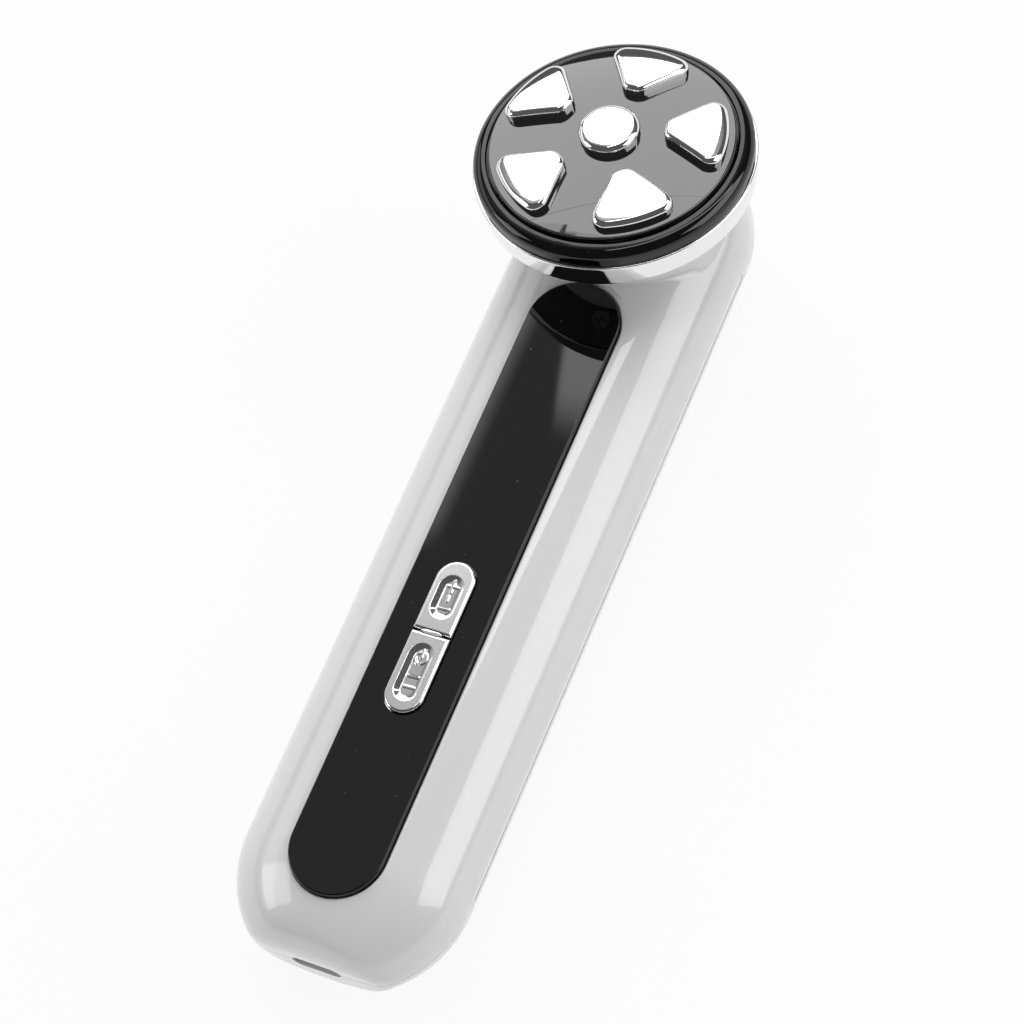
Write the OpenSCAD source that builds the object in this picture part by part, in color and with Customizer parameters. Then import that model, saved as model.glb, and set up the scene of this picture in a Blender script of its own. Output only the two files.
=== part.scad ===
// Hand-held facial toning device: a slim two-part handle with a gloss inlay and
// two push keys, and a tilted round head that carries six metal electrodes.
// The handle lies on its back: +Z is its front, +Y runs towards the head and
// X = 0 is its plane of symmetry. The origin is the middle of the part's base.

/* [Handle] */
// Width of the handle
handle_w = 42; // [40:0.5:46]
// Depth of the handle's full oval section
handle_d = 26; // [25:0.5:29]
// Distance between the centres of the handle's two round ends
straight_l = 127.6; // [124:0.4:140]
// Distance from the lower end's centre to the flat end face
end_cut = 17.5; // [16.5:0.1:18]
// Depth of the flat land that the back rests on
back_land = 0.4; // [0.3:0.05:0.8]
// Wall of both shells
wall = 2; // [1.8:0.1:2.4]
// Height of the front shell's tongue in the back cover's rebate
tongue_h = 1.4; // [1:0.1:2]

/* [Side strips] */
// Height of each side strip
strip_h = 1.1; // [0.8:0.1:1.6]
// Distance that each strip stops short of the handle's round ends
strip_inset = 2; // [1:0.5:6]

/* [Inlay panel] */
// Width of the inlay panel
panel_w = 17.2; // [16:0.2:19]
// Distance between the centres of the panel's two round ends
panel_l = 102; // [96:1:104]
// Thickness of the panel
panel_t = 1.6; // [1.4:0.1:1.9]
// Depth of the panel's face below the handle's crest line
panel_drop = 0.15; // [0:0.05:0.3]
// Height that the panel stands above the land around it
panel_proud = 0.6; // [0.4:0.05:0.8]
// Width of the land around the panel
land_w = 1.4; // [1:0.1:2]
// Thickness of the adhesive under the panel
adhesive_t = 0.15; // [0.1:0.05:0.3]
// Thickness of the deck that carries the panel
deck_t = 1.8; // [1.5:0.1:2.2]

/* [Keys] */
// Width of the pair of keys
key_w = 7.2; // [6.6:0.1:7.8]
// Overall length of the pair of keys
key_l = 28.8; // [27:0.2:31]
// Distance from the lower end's centre to the middle of the keys
key_y = 39.2; // [34:0.5:46]
// Offset of the split from the middle of the keys
split_off = 0.65; // [0:0.05:1]
// Height that the keys stand above the panel
key_proud = 0.85; // [0.6:0.05:1.1]
// Travel of each key
key_travel = 0.35; // [0.25:0.05:0.5]
// Gap between the keys and the panel
key_gap = 0.15; // [0.1:0.05:0.25]
// Width of the flange that holds the keys under the panel
flange_w = 0.9; // [0.7:0.05:1.1]
// Thickness of that flange
flange_t = 0.8; // [0.6:0.05:1]
// Length of the bar between the two keys
bar_l = 4; // [3:0.2:5]
// Thickness of that bar
bar_t = 0.9; // [0.7:0.05:1.2]
// Gap between the two keys at either end of the bar
split_gap = 0.4; // [0.3:0.05:0.6]
// Depth of the finger dish in each key
dish_depth = 0.3; // [0.2:0.05:0.4]

/* [Head] */
// Diameter of the bezel
head_dia = 49.6; // [48:0.2:54]
// Distance from the lower end's centre to the head's centre
head_y = 129.5; // [127:0.5:131]
// Height of the bezel's widest circle above the base
head_z = 39.7; // [39:0.1:42]
// Tilt of the head away from the handle
head_tilt = 9.5; // [5:0.5:12]
// Width of the bezel's round bead
bead_w = 2.5; // [2.2:0.1:3]
// Height of the bead above the bezel's widest circle
bead_h = 1.9; // [1.6:0.1:2.2]
// Depth of the bezel's straight side
bezel_side = 1.5; // [1.3:0.1:2]
// Gap between the face plate and the bezel
face_gap = 0.15; // [0.1:0.05:0.5]
// Width of the flat step around the face plate
step_w = 0.35; // [0.3:0.05:1.4]
// Width of the ledge under the face plate
ledge_w = 1.15; // [0.9:0.05:1.4]
// Thickness of the face plate
face_t = 1.5; // [1.2:0.1:1.8]
// Height of the face plate's rim above the bezel's widest circle
face_h = 2.5; // [2.2:0.1:2.8]
// Radius of the face plate's domed front
dome_r = 110; // [90:5:200]
// Thickness of the gasket under the face plate
gasket_t = 0.3; // [0.2:0.05:0.4]
// Height of the silver ring
ring_h = 4.8; // [4.4:0.1:6]
// Width that the ring's top stands outside the bezel
ring_over = 0.4; // [0:0.05:0.6]
// Draft that narrows the ring towards its foot
ring_draft = 0.55; // [0.3:0.05:0.8]
// Wall of the silver ring
ring_wall = 1.2; // [1:0.1:1.4]
// Wall of the head cup
cup_wall = 1.4; // [1.2:0.1:1.6]
// Diameter of the neck
neck_dia = 31; // [30:0.5:33]
// Amount by which the neck's flared top is wider than the neck
flare_dia = 3; // [2.5:0.5:3.5]
// Height of that flare
flare_h = 2; // [1.5:0.1:3]
// Thickness of the gasket between neck and head
neck_gasket_t = 0.5; // [0.3:0.1:0.8]

/* [Electrodes] */
// Distance from the head's axis to the electrodes' inner ends
electrode_in = 9.4; // [9:0.1:10]
// Distance from the face plate's rim to the electrodes' outer ends
electrode_out = 1.2; // [0.4:0.1:1.5]
// Width of each electrode at its outer end
electrode_w = 14; // [13:0.2:15]
// Width of each electrode at its inner end
electrode_w_in = 5.4; // [4.8:0.2:6.4]
// Height of the electrodes above the face plate
electrode_h = 2.1; // [1.8:0.1:3]
// Width and height of the slope round the electrodes' tops
shoulder = 0.9; // [0.5:0.1:1.2]
// Radius of the electrodes' corners
electrode_r = 2.3; // [2:0.1:2.4]
// Diameter of the centre electrode
centre_dia = 10.8; // [9:0.2:12]
// Height of the centre electrode above the face plate
centre_h = 2.2; // [1.8:0.1:3]
// Distance from the electrodes' outer ends to the axes of their stems
stem_pos = 6; // [5.6:0.1:6.6]
// Diameter of the electrodes' stems
stem_dia = 4.4; // [4:0.1:5]

/* [Electronics] */
// Width of the main board
board_w = 22; // [20:0.5:22.4]
// Distance from the lower end's centre to the board's far edge
board_end = 92; // [91.5:0.5:96]
// Distance from the lower end's centre to the board's near edge
board_start = 14; // [13:0.2:14]
// Thickness of the boards
board_t = 1.6; // [1.2:0.1:1.8]
// Width of the board's tongue over the socket
board_tongue_w = 15; // [12:0.5:15]
// Width of the charging socket
socket_w = 8.94; // [8.9:0.02:9]
// Height of the charging socket
socket_h = 3.2; // [3.16:0.02:3.3]
// Length of the charging socket
socket_l = 7.3; // [7:0.1:8]
// Depth of the socket's mouth behind the end face
socket_in = 0.8; // [0.5:0.1:1]
// Side of each key switch
switch_w = 6; // [5:0.2:6.4]
// Height of each key switch
switch_h = 3.6; // [3:0.1:4]
// Diameter of each switch plunger
plunger_dia = 3.5; // [3:0.1:3.6]
// Height of the plunger above its switch
plunger_h = 1; // [0.8:0.1:1.4]
// Width of the battery
battery_w = 20; // [16:0.5:20]
// Length of the battery
battery_l = 53; // [45:0.5:53.5]
// Thickness of the battery
battery_t = 8.4; // [7:0.1:8.8]
// Thickness of the foam pad under the battery
pad_t = 0.8; // [0.5:0.1:1.2]
// Diameter of the vibration motor
motor_dia = 8; // [7:0.1:8.2]
// Length of the vibration motor
motor_l = 16; // [14:0.2:17]
// Distance from the lower end's centre to the motor's rear
motor_y = 104; // [101:0.2:105]
// Height of the motor's axis above the base
motor_z = 7.5; // [7.2:0.1:8]
// Diameter of the motor's shaft
shaft_dia = 1.5; // [1.2:0.1:2]
// Length of the motor's offset weight
weight_l = 5; // [4:0.2:6]
// Wall of the rubber boot round the motor
boot_wall = 0.9; // [0.6:0.1:1]
// Diameter of the cable to the head
harness_dia = 2.6; // [2:0.1:3]
// Bend radius of the cable to the head
bend_r = 8; // [7:0.5:9]

/* [Screws] */
// Diameter of the case screws' shanks
case_screw_dia = 2.4; // [2:0.1:2.6]
// Distance of the case screws from the middle plane
case_screw_x = 14.5; // [14.2:0.1:14.8]
// Distance from the lower end's centre to the lower case screws
case_screw_low = 8; // [4:0.5:14]
// Distance from the lower end's centre to the upper case screws
case_screw_high = 104; // [98:0.5:106]
// Diameter of the small screws' shanks
small_screw_dia = 1.9; // [1.6:0.1:2]

/* [Hidden] */
$fn = 96;
eps = 0.01;
big = 400;

// Clearances
slip = 0.1;          // between parts that slide together or are pushed in
seat_gap = 0.05;     // between parts that lie snugly side by side
bore_gap = 0.1;      // round a plunger in its switch
shaft_gap = 0.04;    // round the motor's shaft

// Handle
side_r = handle_w / 2;
half_d = handle_d / 2;
head_r = head_dia / 2;
split_z = half_d - back_land;
crest_z = split_z + half_d;
ring_chamfer = 0.25;
ring_top_r = head_r + ring_over;
far_y = max(head_y + ring_top_r * cos(head_tilt) - (bezel_side + ring_chamfer) * sin(head_tilt),
    straight_l + side_r);
mid_y = (far_y - end_cut) / 2;

// Inlay, deck and keys, all as heights above the base
panel_top = crest_z - panel_drop;
land_z = panel_top - panel_proud;
panel_z = panel_top - panel_t;
pocket_z = panel_z - adhesive_t;
deck_z = pocket_z - deck_t;
deck_r = panel_w / 2 + deck_t;
key_top = panel_top + key_proud;
key_r = key_w / 2;
key_c = key_l / 2 - key_r;
split_y = key_y + split_off;
flange_top = panel_z - slip;
flange_z = flange_top - flange_t;
well_gap = 0.25;
bridge_t = 1.6;
undercut = bridge_t / 2 + 0.2;
undercut_z = pocket_z + key_travel + 0.25;
bar_ramp = 0.7;
dish_w = 4.2;
low_dish_l = 10.8;
high_dish_l = 8.3;
low_key_y = (key_y - key_l / 2 + split_y) / 2;
high_key_y = (key_y + key_l / 2 + split_y) / 2;

// Boards and what they carry
board_z = split_z + socket_h / 2;
board_top = board_z + board_t;
switch_top = board_top + switch_h;
plunger_top = switch_top + plunger_h;
plunger_root = 2.4;
stem_r = 1.8;
led_y = 68;
led_pitch = 6;
led_size = [2, 1.6, 0.8];
guide_w = 4;
guide_l = 16;
guide_flange = 0.7;
guide_leg_r = 1;
chip_size = [7, 7, 1.1];
chip_y = 14;
plug_size = [8, 4.5, 4.5];
lead_r = 0.7;
lead_x = 1.6;
transformer_size = [12, 12, 7.6];
capacitor_r = 4;
capacitor_l = 11.6;
motor_plug_size = [6, 3.4];
connector_gap = 1.1;
connector_size = [9, 5, deck_z - connector_gap - board_top];
connector_y = board_end - 8;
part_gap = 1.4;      // between the tall parts under the board
capacitor_y = board_end - motor_plug_size[1] - part_gap - capacitor_r;
transformer_y = capacitor_y - capacitor_r - part_gap / 2 - transformer_size[1] / 2;
plug_y = transformer_y - transformer_size[1] / 2 - part_gap - slip - plug_size[1];
lead_l = 3.5;
board_screw_x = 8;
board_screw_low = 0;
post_r = 2.2;
screw_head_r = 1.7;
screw_head_h = 1.1;
board_grip = 4.5;
small_r = small_screw_dia / 2;
small_hole_r = small_r + seat_gap;

// Battery, motor and their seats in the back cover
rib_t = 1.6;
pad_z = 3;
battery_z = pad_z + pad_t;
battery_y = plug_y - lead_l - battery_l;
rib_inset = 4;
motor_r = motor_dia / 2;
boot_r = motor_r + boot_wall;
motor_lead_z = motor_z + motor_r / 2;
shaft_r = shaft_dia / 2;
shaft_out = weight_l + 1;
weight_r = motor_r - 0.2;
weight_gap = 0.6;
weight_lip = 0.7;
cradle_pos = [3, motor_l - 3];

// Case screws
screw_r = case_screw_dia / 2;
case_head_r = 2.3;
case_head_h = 1.6;
case_seat_z = 6.6;
case_boss_r = 3.4;
case_post_r = 2.8;
case_screw_l = 12;

// Head, as heights along its own axis above the bezel's widest circle
bead_r = head_r - bead_w;
face_r = bead_r - step_w - face_gap;
face_z = face_h - face_t;
ledge_z = face_z - gasket_t;
step_z = bead_h - 0.5;
bezel_foot = -bezel_side;
ring_foot = bezel_foot - ring_h;
ring_foot_r = ring_top_r - ring_draft;
ring_in = ring_foot_r - ring_wall;
cup_r = ring_in - slip;
cup_in = cup_r - cup_wall;
skirt_r = cup_in - slip;
skirt_wall = 1.5;
cup_floor = ring_foot + 1.4;
foot_t = 0.8;
foot_r = ring_in + ring_wall / 2;
boss_r = 1.9;
boss_pos = skirt_r - skirt_wall - 1.15;
floor_boss_r = 2.6;
pocket_h = screw_head_h + slip;
floor_boss_top = ring_foot + pocket_h + 1;
boss_foot = floor_boss_top + seat_gap;
head_board_top = -1.2;
head_board_z = head_board_top - board_t;
head_board_r = boss_pos - boss_r - 0.3;
neck_r = neck_dia / 2;
neck_top = ring_foot - neck_gasket_t;
neck_plate = 1.6;
neck_screw_pos = neck_r - 5.5;
neck_post_r = 2.3;
neck_post_top = head_board_z - screw_head_h - 0.3;
screw_tip_gap = 0.2;
wire_y = 6;
wire_hole_r = harness_dia / 2 + 0.7;
head_plug_size = [7, 4.4, 2];
electrode_count = 5;
electrode_pitch = 360 / electrode_count;
outer_r = face_r - electrode_out;
stem_axis = outer_r - stem_pos;
dome_c = face_h - sqrt(pow(dome_r, 2) - pow(face_r, 2));
dome_top = dome_c + dome_r;
stem_grip = 0.6;

// Height of the face plate's front at a distance from the head's axis
function dome_z(r) = dome_c + sqrt(pow(dome_r, 2) - pow(r, 2));

// Cable to the head: level run, bend, then straight up the neck
harness_z = board_top + connector_size[2] / 2;
wire_base_y = head_y + wire_y * cos(head_tilt);
wire_base_z = head_z - wire_y * sin(head_tilt);
wire_cross = (harness_z - wire_base_z) / cos(head_tilt);
wire_cross_y = wire_base_y + wire_cross * sin(head_tilt);
bend_angle = 90 - head_tilt;
bend_len = bend_r * tan(bend_angle / 2);

// ---- shared shapes ----

// Moves children from the lower end's centre to the part's frame
module along(y) { translate([0, y - mid_y, 0]) children(); }

// The head's own frame: z along its axis, y away from the handle
module head_frame() {
    along(head_y) translate([0, 0, head_z]) rotate([-head_tilt, 0, 0]) children();
}

// Solid handle shape, drawn in by "inset" all round
module handle_body(inset) {
    r = side_r - inset;
    squash = (half_d - inset) / r;
    intersection() {
        along(0) translate([0, 0, split_z]) scale([1, 1, squash]) rotate([-90, 0, 0])
            for (quarter = [0:90:270]) rotate([0, 0, quarter]) rotate_extrude(angle = 90)
                intersection() {
                    union() {
                        circle(r);
                        translate([0, straight_l]) circle(r);
                        square([r, straight_l]);
                    }
                    translate([0, -big / 2]) square([big, big]);
                }
        along(inset - end_cut)
            translate([-big / 2, 0, inset]) cube([big, big, big]);
    }
}

// Everything above (or, with up = false, below) a height
module half_space(z, up = true) {
    translate([-big / 2, -big / 2, up ? z : z - big]) cube([big, big, big]);
}

// Flat bar with round ends: ends' centres from y0 to y1
module obround(r, y0, y1) {
    translate([0, y0]) circle(r);
    translate([0, y1]) circle(r);
    translate([-r, y0]) square([2 * r, y1 - y0]);
}

// Upright obround between two heights, placed from the lower end's centre
module obround_block(r, y0, y1, z0, z1) {
    along(0) translate([0, 0, z0]) linear_extrude(z1 - z0) obround(r, y0, y1);
}

// Upright cylinder from one height to another
module post(r, z0, z1) { translate([0, 0, z0]) cylinder(r = r, h = z1 - z0); }

// Ring between two radii and two heights
module washer(r_out, r_in, z0, z1) {
    difference() {
        post(r_out, z0, z1);
        post(r_in, z0 - 1, z1 + 1);
    }
}

// Block centred on x and y, standing on a height
module block(size, z) { translate([-size[0] / 2, -size[1] / 2, z]) cube(size); }

// Pan-head screw pointing up, with its head below "seat"
module screw(r, len, head_radius, head_height, seat) {
    post(head_radius, seat - head_height, seat);
    post(r, seat - eps, seat + len);
}

// Repeats children at the four case screws
module at_case_screws() {
    for (x = [-case_screw_x, case_screw_x])
        for (y = [case_screw_low, case_screw_high])
            along(y) translate([x, 0, 0]) children();
}

// Repeats children at the main board's four screws
module at_board_screws() {
    for (x = [-board_screw_x, board_screw_x])
        for (y = [board_screw_low, connector_y])
            along(y) translate([x, 0, 0]) children();
}

// Repeats children three times round the head's axis
module three_round(radius) {
    for (i = [0:2]) rotate([0, 0, 90 + i * 120]) translate([radius, 0, 0]) children();
}

// Repeats children at the three screws between the cup and the bezel
module at_head_screws() { rotate([0, 0, 60]) three_round(boss_pos) children(); }

// Repeats children at the three screws between the neck and the cup
module at_neck_screws() { rotate([0, 0, 180]) three_round(neck_screw_pos) children(); }

// Repeats children at the stems of the five outer electrodes
module at_stems() {
    for (i = [1:electrode_count]) electrode_turn(i) translate([stem_axis, 0, 0]) children();
}

// Turns children to the place of electrode i, the first one away from the handle
module electrode_turn(i) { rotate([0, 0, 90 - (i - 1) * electrode_pitch]) children(); }

// ---- casing ----

module front_shell() {
    color("whitesmoke") difference() {
        union() {
            intersection() {
                union() {
                    handle_body(0);
                    neck_outside();
                }
                half_space(split_z);
            }
            intersection() {
                handle_body(wall / 2 + slip);
                half_space(split_z - tongue_h);
                half_space(split_z + 1, false);
            }
        }
        difference() {
            handle_body(wall);
            deck_and_posts();
        }
        neck_inside();
        obround_block(panel_w / 2 + land_w, 0, panel_l, land_z, crest_z + 1);
        obround_block(panel_w / 2 + slip, 0, panel_l, pocket_z, crest_z + 1);
        key_wells();
        guide_slot(slip);
        port_hole();
        strip_grooves();
        at_case_screws() post(screw_r + seat_gap, split_z - 1, case_seat_z + case_screw_l + 0.5);
        at_board_screws() post(small_hole_r, board_top - 1, board_top + board_grip + 0.5);
    }
}

// Deck under the inlay and the screw posts, before the cavity is cut
module deck_and_posts() {
    obround_block(deck_r, 0, panel_l, deck_z, crest_z);
    at_case_screws() post(case_post_r, split_z, crest_z);
    at_board_screws() post(post_r, board_top, crest_z);
}

module neck_outside() {
    head_frame() {
        post(neck_r, -head_z, neck_top);
        translate([0, 0, neck_top - flare_h])
            cylinder(r1 = neck_r, r2 = neck_r + flare_dia / 2, h = flare_h);
    }
}

module neck_inside() {
    head_frame() {
        intersection() {
            post(neck_r - wall, -head_z, neck_top - neck_plate);
            translate([0, 0, split_z - head_z]) half_space(0);
        }
        at_neck_screws() post(small_hole_r, neck_top - neck_plate - 1, neck_top + 1);
        translate([0, wire_y, 0]) post(wire_hole_r, neck_top - neck_plate - 1, neck_top + 1);
    }
}

// Two wells for the key flanges, with a bridge between them
module key_wells() {
    difference() {
        obround_block(key_r + flange_w + well_gap, key_y - key_c, key_y + key_c,
                      deck_z - 1, crest_z);
        along(split_y) translate([-side_r, -bridge_t / 2, 0]) cube([2 * side_r, bridge_t, crest_z]);
    }
    along(split_y) post(0.6, deck_z - 1, crest_z);
}

module guide_slot(gap) {
    along(led_y) block([guide_w + 2 * gap, guide_l + 2 * gap, deck_t + 2], deck_z - 1);
}

// Mouth of the charging port through the end wall of both shells
module port_hole() {
    along(-end_cut - 1) translate([0, 0, split_z]) port_bar(socket_w / 2 + slip,
        socket_h / 2 + slip, wall + 2);
}

// Bar of obround section along +Y: half width, half height and length
module port_bar(half_w, half_h, len) {
    rotate([-90, 0, 0]) linear_extrude(len) {
        for (x = [-1, 1]) translate([x * (half_w - half_h), 0]) circle(half_h);
        square([2 * (half_w - half_h), 2 * half_h], center = true);
    }
}

module strip_grooves() {
    for (side = [-1, 1]) strip(side, 0, seat_gap);
}

// One side strip: "skin" sets it in from the widest line, "gap" grows it
module strip(side, skin, gap) {
    depth = wall / 2 - skin - seat_gap + gap;
    x_in = side_r - wall / 2 + seat_gap - gap;
    mirror([side < 0 ? 1 : 0, 0, 0]) along(strip_inset - gap)
        translate([x_in, 0, split_z - strip_h / 2 - gap])
            cube([depth + (skin > 0 ? 0 : 1), straight_l - 2 * (strip_inset - gap), strip_h + 2 * gap]);
}

module back_cover() {
    color("whitesmoke") difference() {
        intersection() {
            handle_body(0);
            half_space(split_z, false);
            half_space(0);
        }
        difference() {
            handle_body(wall);
            case_bosses();
            battery_ribs();
            motor_cradle();
        }
        intersection() {
            handle_body(wall / 2);
            half_space(split_z - tongue_h - slip);
        }
        port_hole();
        strip_grooves();
        at_case_screws() {
            post(screw_r + seat_gap, 0, split_z + 1);
            post(case_head_r + slip, -1, case_seat_z);
        }
    }
}

module case_bosses() {
    at_case_screws() post(case_boss_r, 0, split_z - tongue_h - slip);
}

module battery_ribs() {
    for (y = [battery_y + rib_inset, battery_y + battery_l / 2, battery_y + battery_l - rib_inset])
        along(y) block([battery_w + 2 * rib_t, rib_t, pad_z], 0);
    for (side = [-1, 1])
        along(battery_y + battery_l / 2)
            translate([side * (battery_w / 2 + slip + rib_t / 2), 0, 0])
                block([rib_t, battery_l - 2 * rib_inset, battery_z + battery_t / 2], 0);
    for (y = [battery_y - slip - rib_t / 2, battery_y + battery_l + slip + rib_t / 2])
        along(y) block([battery_w / 2, rib_t, battery_z + battery_t / 3], 0);
}

// Two forked ribs that hold the motor's boot
module motor_cradle() {
    for (y = cradle_pos) along(motor_y + y) difference() {
        block([2 * boot_r + 3 * rib_t, rib_t, motor_z + boot_r / 2], 0);
        translate([0, 0, motor_z]) rotate([90, 0, 0])
            cylinder(r = boot_r + seat_gap, h = rib_t + 2, center = true);
        translate([0, 0, motor_z])
            block([2 * (boot_r + seat_gap) * cos(30), rib_t + 2, boot_r], boot_r * sin(30));
    }
}

module side_strip_left() { color("silver") strip(-1, slip, 0); }

module side_strip_right() { color("silver") strip(1, slip, 0); }

// ---- inlay and keys ----

module inlay_panel() {
    color("black") difference() {
        obround_block(panel_w / 2, 0, panel_l, panel_z, panel_top);
        obround_block(key_r + key_gap, key_y - key_c, key_y + key_c, panel_z - 1, panel_top + 1);
    }
}

module inlay_adhesive() {
    color("dimgray") difference() {
        obround_block(panel_w / 2 - 0.2, 0, panel_l, pocket_z, panel_z);
        obround_block(key_r + flange_w + well_gap, key_y - key_c, key_y + key_c,
                      pocket_z - 1, panel_z + 1);
        along(led_y) block([guide_w + 1, guide_l + 1, 2], pocket_z - 1);
    }
}

// Outline of the split between the keys, grown by "gap" from the bar
module split_outline(gap) {
    half = bar_t / 2 + gap;
    len = bar_l / 2 + gap;
    polygon([[-len, -split_gap / 2], [-len + bar_ramp, -half], [len - bar_ramp, -half],
             [len, -split_gap / 2], [len, split_gap / 2], [len - bar_ramp, half],
             [-len + bar_ramp, half], [-len, split_gap / 2]]);
}

// One key, above (side = 1) or below (side = -1) the split
module key(side, centre, dish_l) {
    difference() {
        union() {
            obround_block(key_r, key_y - key_c, key_y + key_c, flange_z, key_top);
            obround_block(key_r + flange_w, key_y - key_c, key_y + key_c, flange_z, flange_top);
            along(centre) post(stem_r, plunger_top, flange_z + eps);
        }
        along(split_y) {
            translate([-side_r, side > 0 ? -key_l : 0, 0])
                cube([2 * side_r, key_l, 2 * key_top]);
            translate([-side_r, -split_gap / 2, 0]) cube([2 * side_r, split_gap, 2 * key_top]);
            linear_extrude(2 * key_top) split_outline(slip);
            translate([-side_r, -undercut, flange_z - 1])
                cube([2 * side_r, 2 * undercut, undercut_z - flange_z + 1]);
        }
        along(centre) translate([0, 0, key_top])
            scale([dish_w / 2, dish_l / 2, dish_depth]) sphere(r = 1);
    }
}

module level_key() { color("silver") key(1, high_key_y, high_dish_l); }

module mode_key() { color("silver") key(-1, low_key_y, low_dish_l); }

module key_divider() {
    color("silver") along(split_y) {
        translate([0, 0, pocket_z]) linear_extrude(key_top - slip - pocket_z) split_outline(0);
        post(0.5, deck_z, pocket_z + eps);
    }
}

// ---- boards and what they carry ----

module main_board() {
    color("darkgreen") difference() {
        along(0) translate([0, 0, board_z]) linear_extrude(board_t) union() {
            translate([-board_w / 2, -board_start / 2]) square([board_w, board_end + board_start / 2]);
            translate([-board_tongue_w / 2, -board_start]) square([board_tongue_w, board_start]);
        }
        at_board_screws() post(small_hole_r, board_z - 1, board_top + 1);
    }
}

module key_switch(y) {
    color("dimgray") along(y) difference() {
        block([switch_w, switch_w, switch_h], board_top);
        post(plunger_dia / 2 + bore_gap, switch_top - plunger_root - key_travel - slip, switch_top + 1);
    }
}

module switch_plunger(y) {
    color("gainsboro") along(y) post(plunger_dia / 2, switch_top - plunger_root, plunger_top);
}

module level_switch() { key_switch(high_key_y); }

module mode_switch() { key_switch(low_key_y); }

module level_plunger() { switch_plunger(high_key_y); }

module mode_plunger() { switch_plunger(low_key_y); }

module light_guide() {
    color("lightcyan") along(led_y) {
        block([guide_w, guide_l, deck_t], deck_z);
        block([guide_w + 2 * guide_flange, guide_l + 2 * guide_flange, guide_flange],
              deck_z - guide_flange);
        for (i = [-1:1]) translate([0, i * led_pitch, 0])
            post(guide_leg_r, board_top + led_size[2] + 0.3, deck_z - guide_flange + eps);
    }
}

module status_leds() {
    color("white") for (i = [-1:1])
        along(led_y + i * led_pitch) block(led_size, board_top);
}

module controller_chip() { color("black") along(chip_y) block(chip_size, board_top); }

module charging_socket() {
    shell_t = 0.3;
    blade = [6.6, 0.7];
    color("silver") along(socket_in - end_cut) translate([0, 0, split_z]) {
        difference() {
            port_bar(socket_w / 2, socket_h / 2, socket_l);
            translate([0, -1, 0])
                port_bar(socket_w / 2 - shell_t, socket_h / 2 - shell_t, socket_l);
        }
        translate([-blade[0] / 2, 1, -blade[1] / 2]) cube([blade[0], socket_l - 1.5, blade[1]]);
    }
}

module port_gasket() {
    ring_t = 1.2;
    rim = 1.5;
    color("gray") along(wall - end_cut) translate([0, 0, split_z]) difference() {
        port_bar(socket_w / 2 + rim, socket_h / 2 + rim, ring_t);
        translate([0, -1, 0]) port_bar(socket_w / 2 + seat_gap, socket_h / 2 + seat_gap, ring_t + 2);
    }
}

module battery() {
    color("steelblue") along(battery_y + battery_l / 2)
        block([battery_w, battery_l, battery_t], battery_z);
}

module battery_pad() {
    color("black") along(battery_y + battery_l / 2)
        block([battery_w - 2, battery_l - 3, pad_t], pad_z);
}

module battery_plug() {
    color("ivory") along(plug_y + plug_size[1] / 2)
        block(plug_size, board_z - plug_size[2]);
}

module battery_leads() {
    color("firebrick") for (x = [-lead_x, lead_x])
        along(battery_y + battery_l) translate([x, 0, board_z - plug_size[2] + 1.4])
            rotate([-90, 0, 0]) cylinder(r = lead_r, h = plug_y - battery_y - battery_l);
}

module pulse_transformer() {
    color("darkgoldenrod") along(transformer_y) {
        block(transformer_size, board_z - transformer_size[2]);
    }
}

module storage_capacitor() {
    color("midnightblue") along(capacitor_y) translate([0, 0, board_z - capacitor_r])
        rotate([0, 90, 0]) cylinder(r = capacitor_r, h = capacitor_l, center = true);
}

module head_connector() { color("ivory") along(connector_y) block(connector_size, board_top); }

module motor_plug() {
    foot = motor_lead_z - 1.2;
    color("ivory") along(board_end - motor_plug_size[1] / 2)
        block([motor_plug_size[0], motor_plug_size[1], board_z - foot], foot);
}

module motor_leads() {
    color("firebrick") for (x = [-lead_x, lead_x])
        along(board_end) translate([x, 0, motor_lead_z])
            rotate([-90, 0, 0]) cylinder(r = lead_r, h = motor_y - board_end);
}

// ---- vibration motor ----

// Cylinder along the motor's axis, from the motor's rear
module motor_bar(r, y0, y1) {
    along(motor_y + y0) translate([0, 0, motor_z]) rotate([-90, 0, 0])
        cylinder(r = r, h = y1 - y0);
}

module motor() {
    bore_l = motor_l / 2;
    color("silver") difference() {
        motor_bar(motor_r, 0, motor_l);
        motor_bar(shaft_r + shaft_gap, motor_l - bore_l - slip, motor_l + 1);
    }
}

module motor_boot() {
    color("darkslategray") difference() {
        motor_bar(boot_r, 1, motor_l - 1);
        motor_bar(motor_r + seat_gap, 0, motor_l);
    }
}

module motor_shaft() {
    color("gray") motor_bar(shaft_r, motor_l / 2, motor_l + shaft_out);
}

module offset_weight() {
    color("dimgray") difference() {
        intersection() {
            motor_bar(weight_r, motor_l + weight_gap, motor_l + weight_gap + weight_l);
            along(motor_y + motor_l) translate([-weight_r, 0, motor_z - weight_r])
                cube([2 * weight_r, 2 * weight_l, weight_r + shaft_r + weight_lip]);
        }
        motor_bar(shaft_r, motor_l, motor_l + 2 * weight_l);
    }
}

// ---- cable to the head ----

// The straight runs are a hair thinner than the bend and start inside its ends
module head_harness() {
    start_y = connector_y + connector_size[1] / 2;
    bend_y = wire_cross_y - bend_len;
    r = harness_dia / 2;
    run_r = r - 0.05;
    bite = 0.2;
    color("slategray") {
        along(start_y) translate([0, 0, harness_z]) rotate([-90, 0, 0])
            cylinder(r = run_r, h = bend_y - start_y + bite);
        along(bend_y) translate([0, 0, harness_z + bend_r]) rotate([90, 0, 90])
            rotate([0, 0, -90]) rotate_extrude(angle = bend_angle)
                translate([bend_r, 0]) circle(r);
        head_frame() translate([0, wire_y, 0])
            post(run_r, wire_cross + bend_len - bite, head_board_z - head_plug_size[2]);
    }
}

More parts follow.
